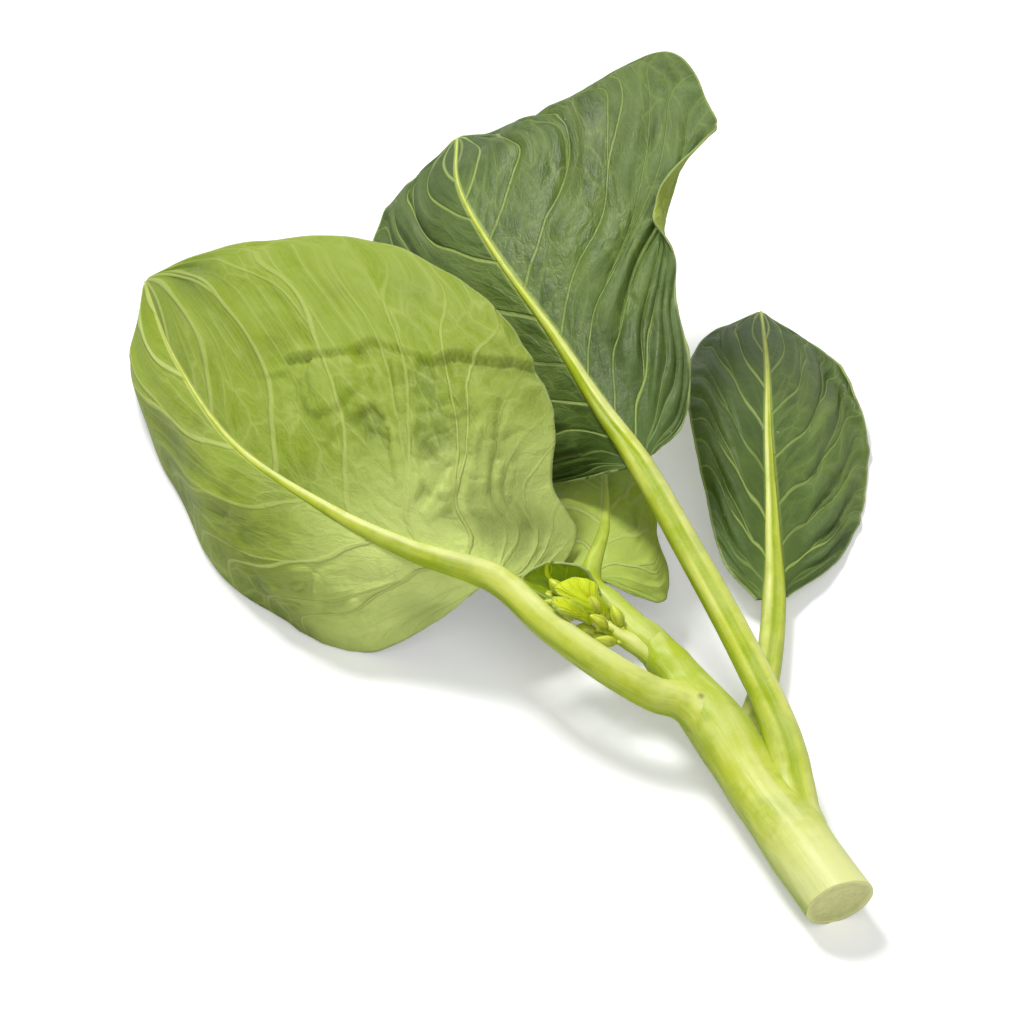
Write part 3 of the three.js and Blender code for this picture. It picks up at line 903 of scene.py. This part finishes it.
def leaf_material(name, colours, upper, young=False, gain=1.0, pale_and_lit_foot=PALE_AND_LIT_FOOT):
    """A blade's upper side, or its paler underside, drawn from the measures kept on its mesh."""
    material, tree, shader, place = new_material(name)
    body = colours.leaf_upper if upper else colours.leaf_under
    fresh_colour = colours.leaf_flush if upper else colours.leaf_fresh
    vein = colours.vein_upper if upper else colours.vein_under
    vein_width, rib_width, net_size = (0.55, 2.4, 6.5) if upper else (0.75, 1.8, 6.5)
    if young:
        body = colours.young_upper if upper else colours.young_under
        fresh_colour = vein = colours.young_fresh
        vein_width, rib_width, net_size = 0.3, 0.5, 3.0
    along = tree.attribute("along")
    height = tree.attribute("height")
    veins = tree.group(
        "veins", Row=tree.attribute("vein_row"), Gap=tree.attribute("vein_gap"), Fork=tree.attribute("fork"),
        Across=tree.attribute("across"), Along=along, From_Rib=tree.attribute("from_rib"),
        Vein_Width=vein_width, Rib_Width=rib_width, Net_Size=net_size,
    )

    # A lighter, fresher green in broad patches and towards the tip, and painted shade in the hollows.
    mottle = tree.ramp(tree.noise(place, 60.0, 4.0, 0.6), 0.32, 0.68)
    coloured = tree.blend(mottle, rgba(body, 0.80 * gain), rgba(body, 1.18 * gain))
    patch = tree.noise(place, 24.0, 3.0, 0.5, 0.6)
    if not upper:
        patch = patch + tree.ramp(along, 0.40, 0.62, -0.12, 0.16)
        # The foot of the underside is paler, as on the real leaf, and lighter still as painted light where
        # its curve turns it into shade.
        pale_and_lit_base = tree.ramp(along, 0.24, 0.50, 0.0 if young else pale_and_lit_foot, 0.0)
        coloured = tree.blend(pale_and_lit_base, coloured, rgba(colours.leaf_foot_pale_and_lit))
    fresh = tree.ramp(patch, 0.50, 0.66, 0.0, 0.5 if upper else 0.9)
    coloured = tree.blend(fresh, coloured, rgba(fresh_colour, gain))
    # Painted shade: the lower the relief, the more the blade takes the dark colour of the hollows.
    painted_shade_in_hollows = tree.ramp(height, -2.4, 0.4, 0.1 if young else 0.6, 0.0)
    coloured = tree.blend(painted_shade_in_hollows, coloured, rgba(colours.painted_hollow_shade))
    coloured = tree.blend(tree.ramp(veins["Cushions"], 0.0, 1.0, 0.16, 0.0), coloured, rgba(vein))

    # A powdery wax in patches, which is real, laid thickest on the crests as a painted sheen.
    lit_crest = tree.ramp(height, -0.6, 1.8, 0.08, 0.75) if upper else tree.ramp(height, -1.5, 2.2, 0.08, 0.6)
    bloom = tree.group("bloom", Vector=place, Patch=0.016, Amount=1.0)["Bloom"] * lit_crest
    wax = colours.wax_and_sheen_upper if upper else colours.wax_and_sheen_under
    coloured = tree.blend(bloom, coloured, rgba(fresh_colour if young else wax))

    net, fine_net = (0.22, 0.07) if upper else (0.36, 0.10)
    lines = veins["Net"] * net
    for line in (veins["Fine Net"] * fine_net, veins["Side Veins"] * 0.95, veins["Midrib"] * 0.9):
        lines = tree.maths("MAXIMUM", lines, line)
    coloured = tree.blend(lines, coloured, rgba(vein))
    rim = tree.ramp(tree.attribute("from_rim"), 0.15, 0.7, 0.75, 0.0)
    coloured = tree.blend(rim, coloured, rgba(colours.rim))
    specks = tree.group("specks", Vector=place, Spacing=0.0032, Share=0.14)["Specks"]
    dusty = tree.ramp(tree.noise(place, 35.0, 2.0), 0.5, 0.68, 0.0, 0.5)
    coloured = tree.blend(specks * dusty, coloured, rgba(colours.dust))

    shine = (0.44, 0.64) if upper else (0.52, 0.70)
    tree.feed(shader, Base_Color=coloured, Roughness=tree.ramp(bloom, 0.0, 0.5, *shine))
    sign = -1.0 if upper else 1.0
    relief = veins["Side Veins"] * (0.9 * sign) + veins["Cushions"] * (-0.55 * sign)
    relief = relief + veins["Fine Net"] * (0.10 * sign) + tree.noise(place, 420.0, 3.0) * 0.5
    tree.bump(shader, relief, strength=0.7, distance=0.0006)
    tree.feed(
        shader, Specular_IOR_Level=0.25 if upper else 0.18,
        Subsurface_Weight=0.12, Subsurface_Radius=(0.6, 1.0, 0.15), Subsurface_Scale=0.001,
    )
    return material


def skin_material(name, colours, base, crown=STALK_CROWN_HIGHLIGHT, pale_end=0.0, far=None):
    """Juicy stem skin: a painted highlight along its crown and ridges, and painted shade in saturated green
    in its furrows and on its flanks.

    crown is where the painted highlight along the crown starts, as facing upwards, and how strong it is.
    pale_end is how far the foot is paler, and far the colour towards the tip.
    """
    material, tree, shader, place = new_material(name)
    skin = tree.attribute("skin", "Vector")
    stretched = tree.output(tree.add("ShaderNodeMapping", Vector=skin, Scale=(1.0, 1.0, 0.09)))
    streaks = tree.noise(stretched, 0.9, 3.0, 0.6)
    broad = tree.noise(stretched, 0.32, 3.0, 0.6, 0.3)
    along = tree.attribute("along")
    facing = tree.attribute("facing")
    ridge = tree.attribute("ridge")
    highlight_from, highlight_share = crown

    body = tree.blend(tree.ramp(along, 0.4, 0.8), rgba(base), rgba(far or base))
    # Painted shade: where the skin faces down or sideways it turns the saturated green.
    lit_side = facing + broad * 0.9
    coloured = tree.blend(tree.ramp(lit_side, 0.35, 1.35), rgba(colours.skin_green), body)
    # Painted highlight: the crown and the raised ribs that face upwards take the pale wax colour, less so
    # towards the tip.
    lit_crest = facing + broad * 0.5 + ridge * 4.0
    painted_highlight = tree.ramp(lit_crest, highlight_from, 1.45, 0.0, highlight_share) * tree.ramp(along, 0.55, 0.8, 1.0, 0.4)
    for share, colour in (
        (tree.ramp(tree.noise(skin, 0.09, 3.0, 0.55), 0.46, 0.64, 0.0, 0.75), colours.skin_green),
        (tree.ramp(broad, 0.48, 0.66, 0.0, 0.28), colours.skin_pale),
        (tree.ramp(streaks, 0.56, 0.74, 0.0, 0.30), colours.skin_streak),
        # Painted shade in the furrows between the ribs.
        (tree.ramp(ridge, -0.16, -0.02, 0.85, 0.0), colours.skin_green),
        (painted_highlight, colours.skin_wax_and_highlight),
        (tree.ramp(tree.noise(skin, 0.13, 3.0, 0.5), 0.50, 0.66, 0.0, 0.45), colours.skin_streak),
    ):
        coloured = tree.blend(share, coloured, rgba(colour))
    if pale_end:
        # The foot is paler near the cut, but only where the skin faces up, so this is partly a painted
        # highlight.
        end = tree.ramp(along, 0.0, pale_end, 0.8, 0.0) * tree.ramp(lit_side, 0.2, 1.0)
        coloured = tree.blend(end, coloured, rgba(colours.skin_wax_and_highlight))
    bloom = tree.group("bloom", Vector=place, Patch=0.009, Amount=0.22)["Bloom"]
    # The wax patches are real, but they are kept mostly to the faces that look up, as a painted highlight.
    bloom = bloom * tree.ramp(facing, -0.2, 0.9, 0.1, 1.0)
    coloured = tree.blend(bloom, coloured, rgba(colours.skin_wax_and_highlight))
    specks = tree.group("specks", Vector=place, Spacing=0.005, Share=0.10)["Specks"]
    coloured = tree.blend(specks * 0.4, coloured, rgba(colours.scar))
    scar = (Vector(AXIL_SCAR) - MIDDLE) * MM
    torn = tree.vector_maths("DISTANCE", place, tuple(scar), key="Value") + streaks * 0.0012
    coloured = tree.blend(tree.ramp(torn, 0.0012, 0.0024, 0.95, 0.0), coloured, rgba(colours.scar, 0.2))

    tree.feed(shader, Base_Color=coloured, Roughness=tree.ramp(bloom, 0.0, 0.4, 0.40, 0.62))
    relief = broad * 1.4 + streaks * 0.35 + specks * -0.3
    tree.bump(shader, relief, strength=0.4, distance=0.0006)
    tree.feed(
        shader, Specular_IOR_Level=0.25,
        Subsurface_Weight=0.2, Subsurface_Radius=(0.8, 1.0, 0.2), Subsurface_Scale=0.002,
    )
    return material


def cut_material(name, colours):
    """The cut face: a thin pale skin seen edge-on, a faint ring of fibres and a moist pith."""
    material, tree, shader, place = new_material(name)
    middle = (Vector(STEM_ROUTE[0]) - MIDDLE) * MM
    centred = tree.output(tree.add("ShaderNodeMapping", Vector=place, Location=tuple(-middle)))
    flat = tree.vector_maths("MULTIPLY", centred, (1 / MM, 0.0, 1 / MM))
    radius = tree.vector_maths("LENGTH", flat, key="Value") + tree.noise(place, 300.0, 2.0) * 0.8
    grain = tree.noise(place, 1100.0, 3.0, 0.7)
    cloud = tree.noise(place, 330.0, 2.0, 0.5)
    face = colours.cut_face
    pith = tree.blend(tree.ramp(grain, 0.35, 0.65), rgba(face, 0.92), rgba(face, 1.06))
    ring = tree.ramp(radius, 5.6, 6.4) * tree.ramp(radius, 6.9, 7.5, 1.0, 0.0)
    specks = tree.group("specks", Vector=place, Spacing=0.0014, Share=0.4)["Specks"]
    for share, colour in (
        (tree.ramp(cloud, 0.35, 0.65, 0.0, 0.35), colours.cut_rim),
        (ring * 0.22, colours.cut_ring),
        (specks * tree.ramp(radius, 4.5, 6.5, 0.0, 0.35), colours.cut_ring),
        (tree.ramp(radius, 7.7, 8.3), colours.cut_rim),
    ):
        pith = tree.blend(share, pith, rgba(colour))
    tree.feed(shader, Base_Color=pith, Roughness=tree.ramp(grain, 0.3, 0.7, 0.42, 0.6))
    tree.bump(shader, grain + cloud, strength=0.3, distance=0.0003)
    tree.feed(shader, Subsurface_Weight=0.2, Subsurface_Radius=(0.8, 1.0, 0.3), Subsurface_Scale=0.003)
    return material


def bud_material(name, colours):
    """A closed bud: yellow-green, darker towards its foot and along the seams of its sepals."""
    material, tree, shader, place = new_material(name)
    mottle = tree.noise(place, 900.0, 3.0)
    towards_tip = tree.ramp(tree.attribute("along"), 0.1, 0.7)
    body = tree.blend(towards_tip, rgba(colours.bud, 0.7), rgba(colours.bud))
    body = tree.blend(tree.ramp(mottle, 0.4, 0.7, 0.0, 0.5), body, rgba(colours.bud_tip))
    seam = tree.ramp(tree.attribute("seam"), 0.0, 1.0, 0.0, 0.45)
    body = tree.blend(seam, body, rgba(colours.skin_green, 0.5))
    tree.feed(shader, Base_Color=body, Roughness=tree.ramp(mottle, 0.3, 0.7, 0.38, 0.55))
    tree.bump(shader, mottle, strength=0.4, distance=0.0002)
    tree.feed(shader, Subsurface_Weight=0.25, Subsurface_Radius=(0.8, 1.0, 0.2), Subsurface_Scale=0.0015)
    return material


@lru_cache(maxsize=None)
def material_named(name):
    colours = bpy.context.scene.shoot_colours
    makers = {
        "stem_skin": lambda: skin_material(
            name, colours, colours.stem, STEM_CROWN_HIGHLIGHT, STEM_PALE_END, far=colours.stem_upper
        ),
        "stalk_skin": lambda: skin_material(name, colours, colours.stalk),
        "upper_stalk_skin": lambda: skin_material(name, colours, colours.stem_upper, STEM_CROWN_HIGHLIGHT),
        "bud_stalk_skin": lambda: skin_material(name, colours, colours.bud),
        "cut_face": lambda: cut_material(name, colours),
        "leaf_upper": lambda: leaf_material(name, colours, True),
        "leaf_under": lambda: leaf_material(name, colours, False),
        # Painted light: a paler copy of the underside, for the middle leaf in the top leaf's shade.
        "middle_under_painted_light": lambda: leaf_material(
            name, colours, False, gain=MIDDLE_LEAF_PAINTED_LIGHT, pale_and_lit_foot=MIDDLE_PALE_AND_LIT_FOOT
        ),
        "young_upper": lambda: leaf_material(name, colours, True, young=True),
        "young_under": lambda: leaf_material(name, colours, False, young=True),
        "bud_skin": lambda: bud_material(name, colours),
    }
    return makers[name]()


# ---- What a user would change ----


def length_setting(name, description, default_mm):
    size = {"default": default_mm * MM, "min": 0.0, "unit": "LENGTH", "precision": 5}
    return FloatProperty(name=name, description=description, **size)


def colour_setting(name, *default):
    return FloatVectorProperty(name=name, default=default, size=3, min=0.0, max=1.0, subtype="COLOR")


class ShootSizes(bpy.types.PropertyGroup):
    """Sizes of the shoot's fine shapes."""

    blade_thickness: length_setting("Blade thickness", "Thickness of the large leaves", 0.5)
    young_thickness: length_setting("Young blade thickness", "Thickness of the young leaves", 0.6)
    vein_height: length_setting("Vein height", "How far side veins stand out of a blade", 0.5)
    puff_height: length_setting("Puff height", "How far a blade swells between side veins", 1.0)
    blister_height: length_setting("Blister height", "Height of a blade's small blisters and folds", 1.1)
    ruffle_height: length_setting("Ruffle height", "How far a blade's rim waves up and down", 1.8)


class ShootColours(bpy.types.PropertyGroup):
    """Colours of the shoot, as linear values."""

    stem: colour_setting("Skin of the main stem", 0.59, 0.655, 0.07)
    stem_upper: colour_setting("Skin of the stem above its knuckle", 0.43, 0.54, 0.022)
    stalk: colour_setting("Skin of the leaf stalks", 0.585, 0.65, 0.055)
    # Saturated green: the skin's own patches and the buds' seams, and painted shade on the flanks and in the
    # furrows.
    skin_green: colour_setting("Saturated green of the skin's flanks", 0.32, 0.43, 0.002)
    skin_pale: colour_setting("Paler streaks of the skin", 0.76, 0.8, 0.24)
    skin_streak: colour_setting("Fine darker streaks of the skin", 0.48, 0.56, 0.012)
    # Real wax on the skin, and also the painted highlight along the crown of the stems and stalks.
    skin_wax_and_highlight: colour_setting("White wax on the skin", 0.8, 0.83, 0.37)
    scar: colour_setting("Small corky scars on the skin", 0.42, 0.44, 0.16)
    cut_face: colour_setting("Pith on the cut face", 0.66, 0.67, 0.28)
    cut_ring: colour_setting("Fibres on the cut face", 0.48, 0.52, 0.16)
    cut_rim: colour_setting("Skin seen edge-on round the cut face", 0.8, 0.82, 0.38)
    leaf_upper: colour_setting("Dark upper side of the leaves", 0.052, 0.096, 0.012)
    leaf_under: colour_setting("Pale underside of the leaves", 0.21, 0.286, 0.017)
    leaf_fresh: colour_setting("Yellower stretches of the underside", 0.22, 0.308, 0.006)
    leaf_flush: colour_setting("Yellower patches of the upper side", 0.11, 0.18, 0.025)
    # Painted shade, which darkens the deepest hollows of the leaves.
    painted_hollow_shade: colour_setting("Deepest hollows of the leaves", 0.075, 0.125, 0.02)
    vein_upper: colour_setting("Veins on the upper side", 0.32, 0.42, 0.1)
    vein_under: colour_setting("Veins on the underside", 0.47, 0.55, 0.15)
    # Real wax on the leaves, also laid thickest on the crests as a painted sheen.
    wax_and_sheen_upper: colour_setting("Wax on the upper side", 0.135, 0.195, 0.072)
    wax_and_sheen_under: colour_setting("Wax on the underside", 0.3, 0.39, 0.08)
    # Partly the paler foot of the real leaf, partly painted light there.
    leaf_foot_pale_and_lit: colour_setting("Palest underside, round the leaf's foot", 0.68, 0.795, 0.24)
    rim: colour_setting("Thin pale edge of the leaves", 0.4, 0.48, 0.16)
    dust: colour_setting("Pale specks on the leaves", 0.5, 0.58, 0.38)
    young_upper: colour_setting("Upper side of the leaves at the tip", 0.2, 0.32, 0.01)
    young_under: colour_setting("Underside of the leaves at the tip", 0.48, 0.62, 0.02)
    young_fresh: colour_setting("Yellowest parts of the leaves at the tip", 0.64, 0.74, 0.02)
    bud: colour_setting("Closed flower buds", 0.6, 0.67, 0.035)
    bud_tip: colour_setting("Lighter flecks of the buds", 0.7, 0.74, 0.08)


# ---- Operators ----


def stem_radius(reach):
    narrowed = mix(STEM_RADIUS, STEM_WAIST_RADIUS, smoothstep(*STEM_WAIST_SPAN, reach))
    swell = KNUCKLE_SWELL * exp(-(((reach - KNUCKLE_PLACE) / KNUCKLE_SPREAD) ** 2))
    return mix(narrowed, STEM_TOP_RADIUS, smoothstep(*STEM_TOP_SPAN, reach)) + swell


def ribbed(ribs, depth, seed):
    """A cross-section with low lengthwise ribs, which drift round it along the rod."""

    def shape(reach, angle):
        swing = 0.5 * sin(3 * reach + seed)
        coarse = cos(ribs * (angle + swing)) + 0.5 * cos((2 * ribs + 1) * angle + seed)
        uneven = noise_at(cos(angle) * 1.5 + seed, sin(angle) * 1.5, reach * 7)
        return 1 + depth * (coarse * 0.6 + uneven * 2.2)

    return shape


def stem_rod():
    route = Route(STEM_ROUTE + STEM_END)
    body_share = Route(STEM_ROUTE).length / route.length

    def radius_at(reach):
        if reach > body_share:
            return mix(STEM_TOP_RADIUS, STEM_END_RADIUS, (reach - body_share) / (1 - body_share))
        return stem_radius(reach / body_share)

    return Rod(route, radius_at)


def stalk_rod(leaf):
    """A leaf's stalk and midrib in one rod, and the share of its length that is stalk."""
    stalk = Route(leaf["stalk"])
    whole = Route(leaf["stalk"] + leaf["midrib"][1:])
    share = stalk.length / whole.length
    base_radius, stalk_radius = leaf["stalk_radii"]
    foot = STALK_SUNK / whole.length

    def radius_at(reach):
        if reach > share:
            return rib_radius(leaf, (reach - share) / (1 - share))
        waist = mix(stalk_radius, leaf["foot_radius"], reach / share)
        full = waist + (base_radius - stalk_radius) * (1 - reach / share) ** STALK_FLARE
        return full * mix(STALK_FOOT_SHARE, 1, smoothstep(0, foot, reach))

    return Rod(whole, radius_at), share


def flower_rod():
    footing, end = FLOWER_STALK_RADII
    return Rod(Route(FLOWER_STALK_ROUTE), lambda reach: mix(footing, end, reach))


@lru_cache(maxsize=None)
def all_rods():
    """The rods that grow out of each other, whose skins flow together."""
    rods = {name: stalk_rod(leaf)[0] for name, leaf in LEAVES.items()}
    rods["stem"] = stem_rod()
    rods["flower"] = flower_rod()
    return rods


def fused(bm, name, reach=FUSE_REACH):
    """The mesh of the rod with this name, made to flow into the other rods."""
    rods = all_rods()
    fuse(bm, rods[name], [rod for other, rod in rods.items() if other != name], reach)
    return bm


class SHOOT_OT_stem(bpy.types.Operator):
    """Builds the main stem with its slanting cut face"""

    bl_idname = "shoot.stem"
    bl_label = "Main Stem"

    def execute(self, context):
        bm = rod_mesh(all_rods()["stem"], sides=84, rows=190, shape=ribbed(ribs=5, depth=0.010, seed=2.0))
        fused(bm, "stem")
        cut = Vector(STEM_ROUTE[0])
        ends = [face for face in bm.faces if len(face.verts) > 4]
        cut_end = min(ends, key=lambda end: (end.calc_center_median() - cut).length)
        for vert in bm.verts:
            shift = CUT_SLOPE * (vert.co.z - cut.z) + CUT_SKEW * (vert.co.x - cut.x)
            vert.co.y += shift * max(0, 1 - vert.co.y / CUT_BLEND)
        skin = set(bm.faces) - {cut_end}
        for width, sink in CUT_STEPS:
            bmesh.ops.inset_region(bm, faces=[cut_end], thickness=width, depth=-sink, use_even_offset=True)
        bmesh.ops.poke(bm, faces=[cut_end])
        for face in bm.faces:
            if face not in skin:
                face.material_index = 1
        finished(bm, "stem", ("stem_skin", "cut_face"), "main_stem", "stem")
        return {"FINISHED"}


class SHOOT_OT_leaf_stalks(bpy.types.Operator):
    """Builds the four leaf stalks, each running on as its leaf's midrib"""

    bl_idname = "shoot.leaf_stalks"
    bl_label = "Leaf Stalks"

    def execute(self, context):
        for name, leaf in LEAVES.items():
            self.stalk(name, leaf)
        return {"FINISHED"}

    def stalk(self, name, leaf):
        rod, share = stalk_rod(leaf)
        blade = Blade(leaf)

        def top(reach):
            if reach <= share:
                return Vector((0, 0, 1)).lerp(blade.row(0.02)[3], reach / share).normalized()
            return blade.row(round(blade.midrib.share_at((reach - share) / (1 - share)), 4))[3]

        ribs = ribbed(ribs=4, depth=0.018, seed=leaf["seed"])
        groove_side = 0 if leaf["side"] < 0 else pi

        def section(reach, angle):
            off = abs((angle - groove_side + pi) % (2 * pi) - pi)
            groove = STALK_GROOVE_DEPTH * exp(-((off / STALK_GROOVE_WIDTH) ** 2))
            groove *= smoothstep(0, 0.2, reach) * (1 - smoothstep(0.5, 0.8, reach))
            return ribs(reach, angle) * (1 - groove - STALK_FLATNESS * cos(2 * angle))

        bm = fused(rod_mesh(rod, sides=40, rows=260, top=top, shape=section), name)
        skin = "upper_stalk_skin" if name == "middle_leaf" else "stalk_skin"
        finished(bm, name + "_petiole", (skin,), name + "_stalk", "leaf_stalk")


class SHOOT_OT_leaf_blades(bpy.types.Operator):
    """Builds the blades of the four large leaves"""

    bl_idname = "shoot.leaf_blades"
    bl_label = "Leaf Blades"

    def execute(self, context):
        thickness = context.scene.shoot_sizes.blade_thickness
        for name, leaf in LEAVES.items():
            sides = ("leaf_upper", "middle_under_painted_light" if name == "middle_leaf" else "leaf_under")
            build_blade(name, leaf, thickness, sides, name + "_blade", leaf["slot"])
        return {"FINISHED"}


class SHOOT_OT_young_leaves(bpy.types.Operator):
    """Builds the three young leaves round the buds"""

    bl_idname = "shoot.young_leaves"
    bl_label = "Young Leaves"

    def execute(self, context):
        thickness = context.scene.shoot_sizes.young_thickness
        for name, leaf in YOUNG_LEAVES.items():
            build_blade(name, leaf, thickness, ("young_upper", "young_under"), name, "young_leaf")
        return {"FINISHED"}


def bud_places(route):
    """The buds stand round the flower stalk in a spiral: each one's number, foot and heading."""
    golden_angle = pi * (3 - sqrt(5))
    for number in range(BUD_COUNT):
        step = number / (BUD_COUNT - 1)
        reach = mix(FIRST_BUD, 1, step)
        forwards = route.heading(reach)
        sideways = Vector((0, 0, 1)).cross(forwards).normalized()
        upwards = forwards.cross(sideways)
        turn = number * golden_angle
        spread = mix(*BUD_SPREAD, step**2)
        heading = forwards + sideways * spread * cos(turn) + upwards * spread * sin(turn)
        yield number, route.at(reach), heading.normalized()


class SHOOT_OT_flowering_tip(bpy.types.Operator):
    """Builds the flower stalk and its closed buds"""

    bl_idname = "shoot.flowering_tip"
    bl_label = "Flowering Tip"

    def execute(self, context):
        rod = all_rods()["flower"]
        stalk = rod_mesh(rod, sides=24, rows=60, shape=ribbed(ribs=4, depth=0.03, seed=1.0))
        bm = fused(stalk, "flower", TIP_FUSE_REACH)
        for number, foot, heading in bud_places(rod.route):
            route = Route([foot, foot + heading * BUD_STALK_LENGTH])
            bud_stalk = Rod(route, lambda reach: mix(*BUD_STALK_RADII, reach))
            mesh = mesh_from(rod_mesh(bud_stalk, sides=10, rows=6), "bud_stalk")
            bm.from_mesh(mesh)
            bpy.data.meshes.remove(mesh)
            self.bud(number, foot + heading * (BUD_STALK_LENGTH + BUD_LENGTH / 2), heading)
        finished(bm, "flower_stem", ("bud_stalk_skin",), "flower_stalk", "leaf_stalk")
        return {"FINISHED"}

    def bud(self, number, middle, heading):
        bm = bmesh.new()
        bmesh.ops.create_uvsphere(bm, u_segments=20, v_segments=14, radius=1)
        along, seam = (bm.verts.layers.float.new(name) for name in ("along", "seam"))
        for vert in bm.verts:
            angle = atan2(vert.co.y, vert.co.x)
            rise = (vert.co.z + 1) / 2
            lobes = cos(4 * angle + number)
            belly = 1 + 0.22 * sin(pi * rise) - 0.35 * rise
            pinch = belly * (1 + 0.07 * lobes * sin(pi * rise))
            vert[along] = rise
            vert[seam] = max(0, -lobes) ** 3
            vert.co.x *= BUD_RADIUS * pinch
            vert.co.y *= BUD_RADIUS * pinch
            vert.co.z *= BUD_LENGTH / 2
        turn = heading.to_track_quat("Z", "Y").to_matrix()
        bmesh.ops.rotate(bm, cent=(0, 0, 0), matrix=turn, verts=bm.verts)
        bmesh.ops.translate(bm, vec=middle, verts=bm.verts)
        label = f"bud_{number + 1:02d}"
        finished(bm, label, ("bud_skin",), "flower_" + label, "flower_bud")


# The stage. Each lamp has a name, a place, a size and a power. The floor shines for the camera alone,
# so that it looks white.
CAMERA_AZIMUTH = -30
CAMERA_ELEVATION = 42
CAMERA_DISTANCE = 3.0
CAMERA_LENS = 440
CAMERA_AIM = (-0.0236, -0.0113)  # metres to the right of and above the middle of the shoot's box
LAMPS = (("key", (-0.06, 0.73, 1.30), 0.4, 18.0), ("fill", (-0.3, -1.1, 1.2), 1.0, 9.5))
WHITE = (1, 1, 1)
FLOOR_SIZE = 4
FLOOR_GLOW = 0.32
SKY_LIGHT = 0.24  # how strongly the white surroundings light the shoot


class SHOOT_OT_stage(bpy.types.Operator):
    """Builds a plain white stage, soft lights and the camera"""

    bl_idname = "shoot.stage"
    bl_label = "Stage"

    def execute(self, context):
        self.floor()
        self.world(context.scene)
        self.lamps()
        self.camera(context.scene)
        context.scene.view_settings.view_transform = "Standard"
        return {"FINISHED"}

    def floor(self):
        bm = bmesh.new()
        bmesh.ops.create_grid(bm, x_segments=1, y_segments=1, size=FLOOR_SIZE)
        mesh = mesh_from(bm, "floor")
        material, tree, shader, place = new_material("white_floor")
        grain = tree.noise(place, 3.0, 2.0)
        seen = tree.output(tree.add("ShaderNodeLightPath"), "Is Camera Ray")
        tree.feed(
            shader, Base_Color=tree.blend(grain, rgba(WHITE, 0.80), rgba(WHITE, 0.82)), Roughness=0.9,
            Specular_IOR_Level=0.1, Emission_Color=rgba(WHITE), Emission_Strength=seen * FLOOR_GLOW,
        )
        mesh.materials.append(material)
        placed("floor", mesh)

    def world(self, scene):
        world = bpy.data.worlds.new("studio")
        world.use_nodes = True
        tree = Nodes(world.node_tree)
        path = tree.add("ShaderNodeLightPath")
        seen = tree.output(path, "Is Camera Ray")
        for kind in ("Glossy", "Transmission"):
            seen = tree.maths("MAXIMUM", seen, tree.output(path, f"Is {kind} Ray"))
        light = tree.ramp(seen, 0.0, 1.0, SKY_LIGHT, 1.0, smooth=False)
        background = tree.add("ShaderNodeBackground", Color=rgba(WHITE), Strength=light)
        tree.add("ShaderNodeOutputWorld", Surface=tree.output(background))
        scene.world = world

    def lamps(self):
        for name, place, size, power in LAMPS:
            lamp = bpy.data.lights.new(name, "AREA")
            lamp.size = size
            lamp.energy = power
            holder = placed(name, lamp)
            holder.location = place
            holder.rotation_euler = (-Vector(place)).to_track_quat("-Z", "Y").to_euler()

    def camera(self, scene):
        azimuth, elevation = radians(CAMERA_AZIMUTH), radians(CAMERA_ELEVATION)
        back = Vector((sin(azimuth) * cos(elevation), -cos(azimuth) * cos(elevation), sin(elevation)))
        lens = bpy.data.cameras.new("camera")
        lens.lens = CAMERA_LENS
        camera = placed("camera", lens)
        right = Vector((cos(azimuth), sin(azimuth), 0))
        low, high = CAD_BOX
        aim = (Vector(low) + Vector(high)) / 2 + right * CAMERA_AIM[0] + back.cross(right) * CAMERA_AIM[1]
        camera.location = aim + back * CAMERA_DISTANCE
        camera.rotation_euler = (-back).to_track_quat("-Z", "Y").to_euler()
        scene.camera = camera


class SHOOT_PT_panel(bpy.types.Panel):
    """Lists the steps that build the shoot, and its sizes and colours"""

    bl_label = "Chinese Broccoli Shoot"
    bl_idname = "SHOOT_PT_panel"
    bl_space_type = "VIEW_3D"
    bl_region_type = "UI"
    bl_category = "Shoot"

    def draw(self, context):
        for operator in OPERATORS:
            self.layout.operator(operator.bl_idname)
        for settings in (context.scene.shoot_sizes, context.scene.shoot_colours):
            for name in settings.bl_rna.properties.keys():
                if name not in ("rna_type", "name"):
                    self.layout.prop(settings, name)


OPERATORS = (
    SHOOT_OT_stem,
    SHOOT_OT_leaf_stalks,
    SHOOT_OT_leaf_blades,
    SHOOT_OT_young_leaves,
    SHOOT_OT_flowering_tip,
    SHOOT_OT_stage,
)
CLASSES = (ShootSizes, ShootColours, *OPERATORS, SHOOT_PT_panel)


def register():
    for cls in CLASSES:
        bpy.utils.register_class(cls)
    bpy.types.Scene.shoot_sizes = PointerProperty(type=ShootSizes)
    bpy.types.Scene.shoot_colours = PointerProperty(type=ShootColours)


def unregister():
    del bpy.types.Scene.shoot_colours
    del bpy.types.Scene.shoot_sizes
    for cls in reversed(CLASSES):
        bpy.utils.unregister_class(cls)


def main():
    register()
    for operator in OPERATORS:
        group, name = operator.bl_idname.split(".")
        getattr(getattr(bpy.ops, group), name)()


if __name__ == "__main__":
    main()
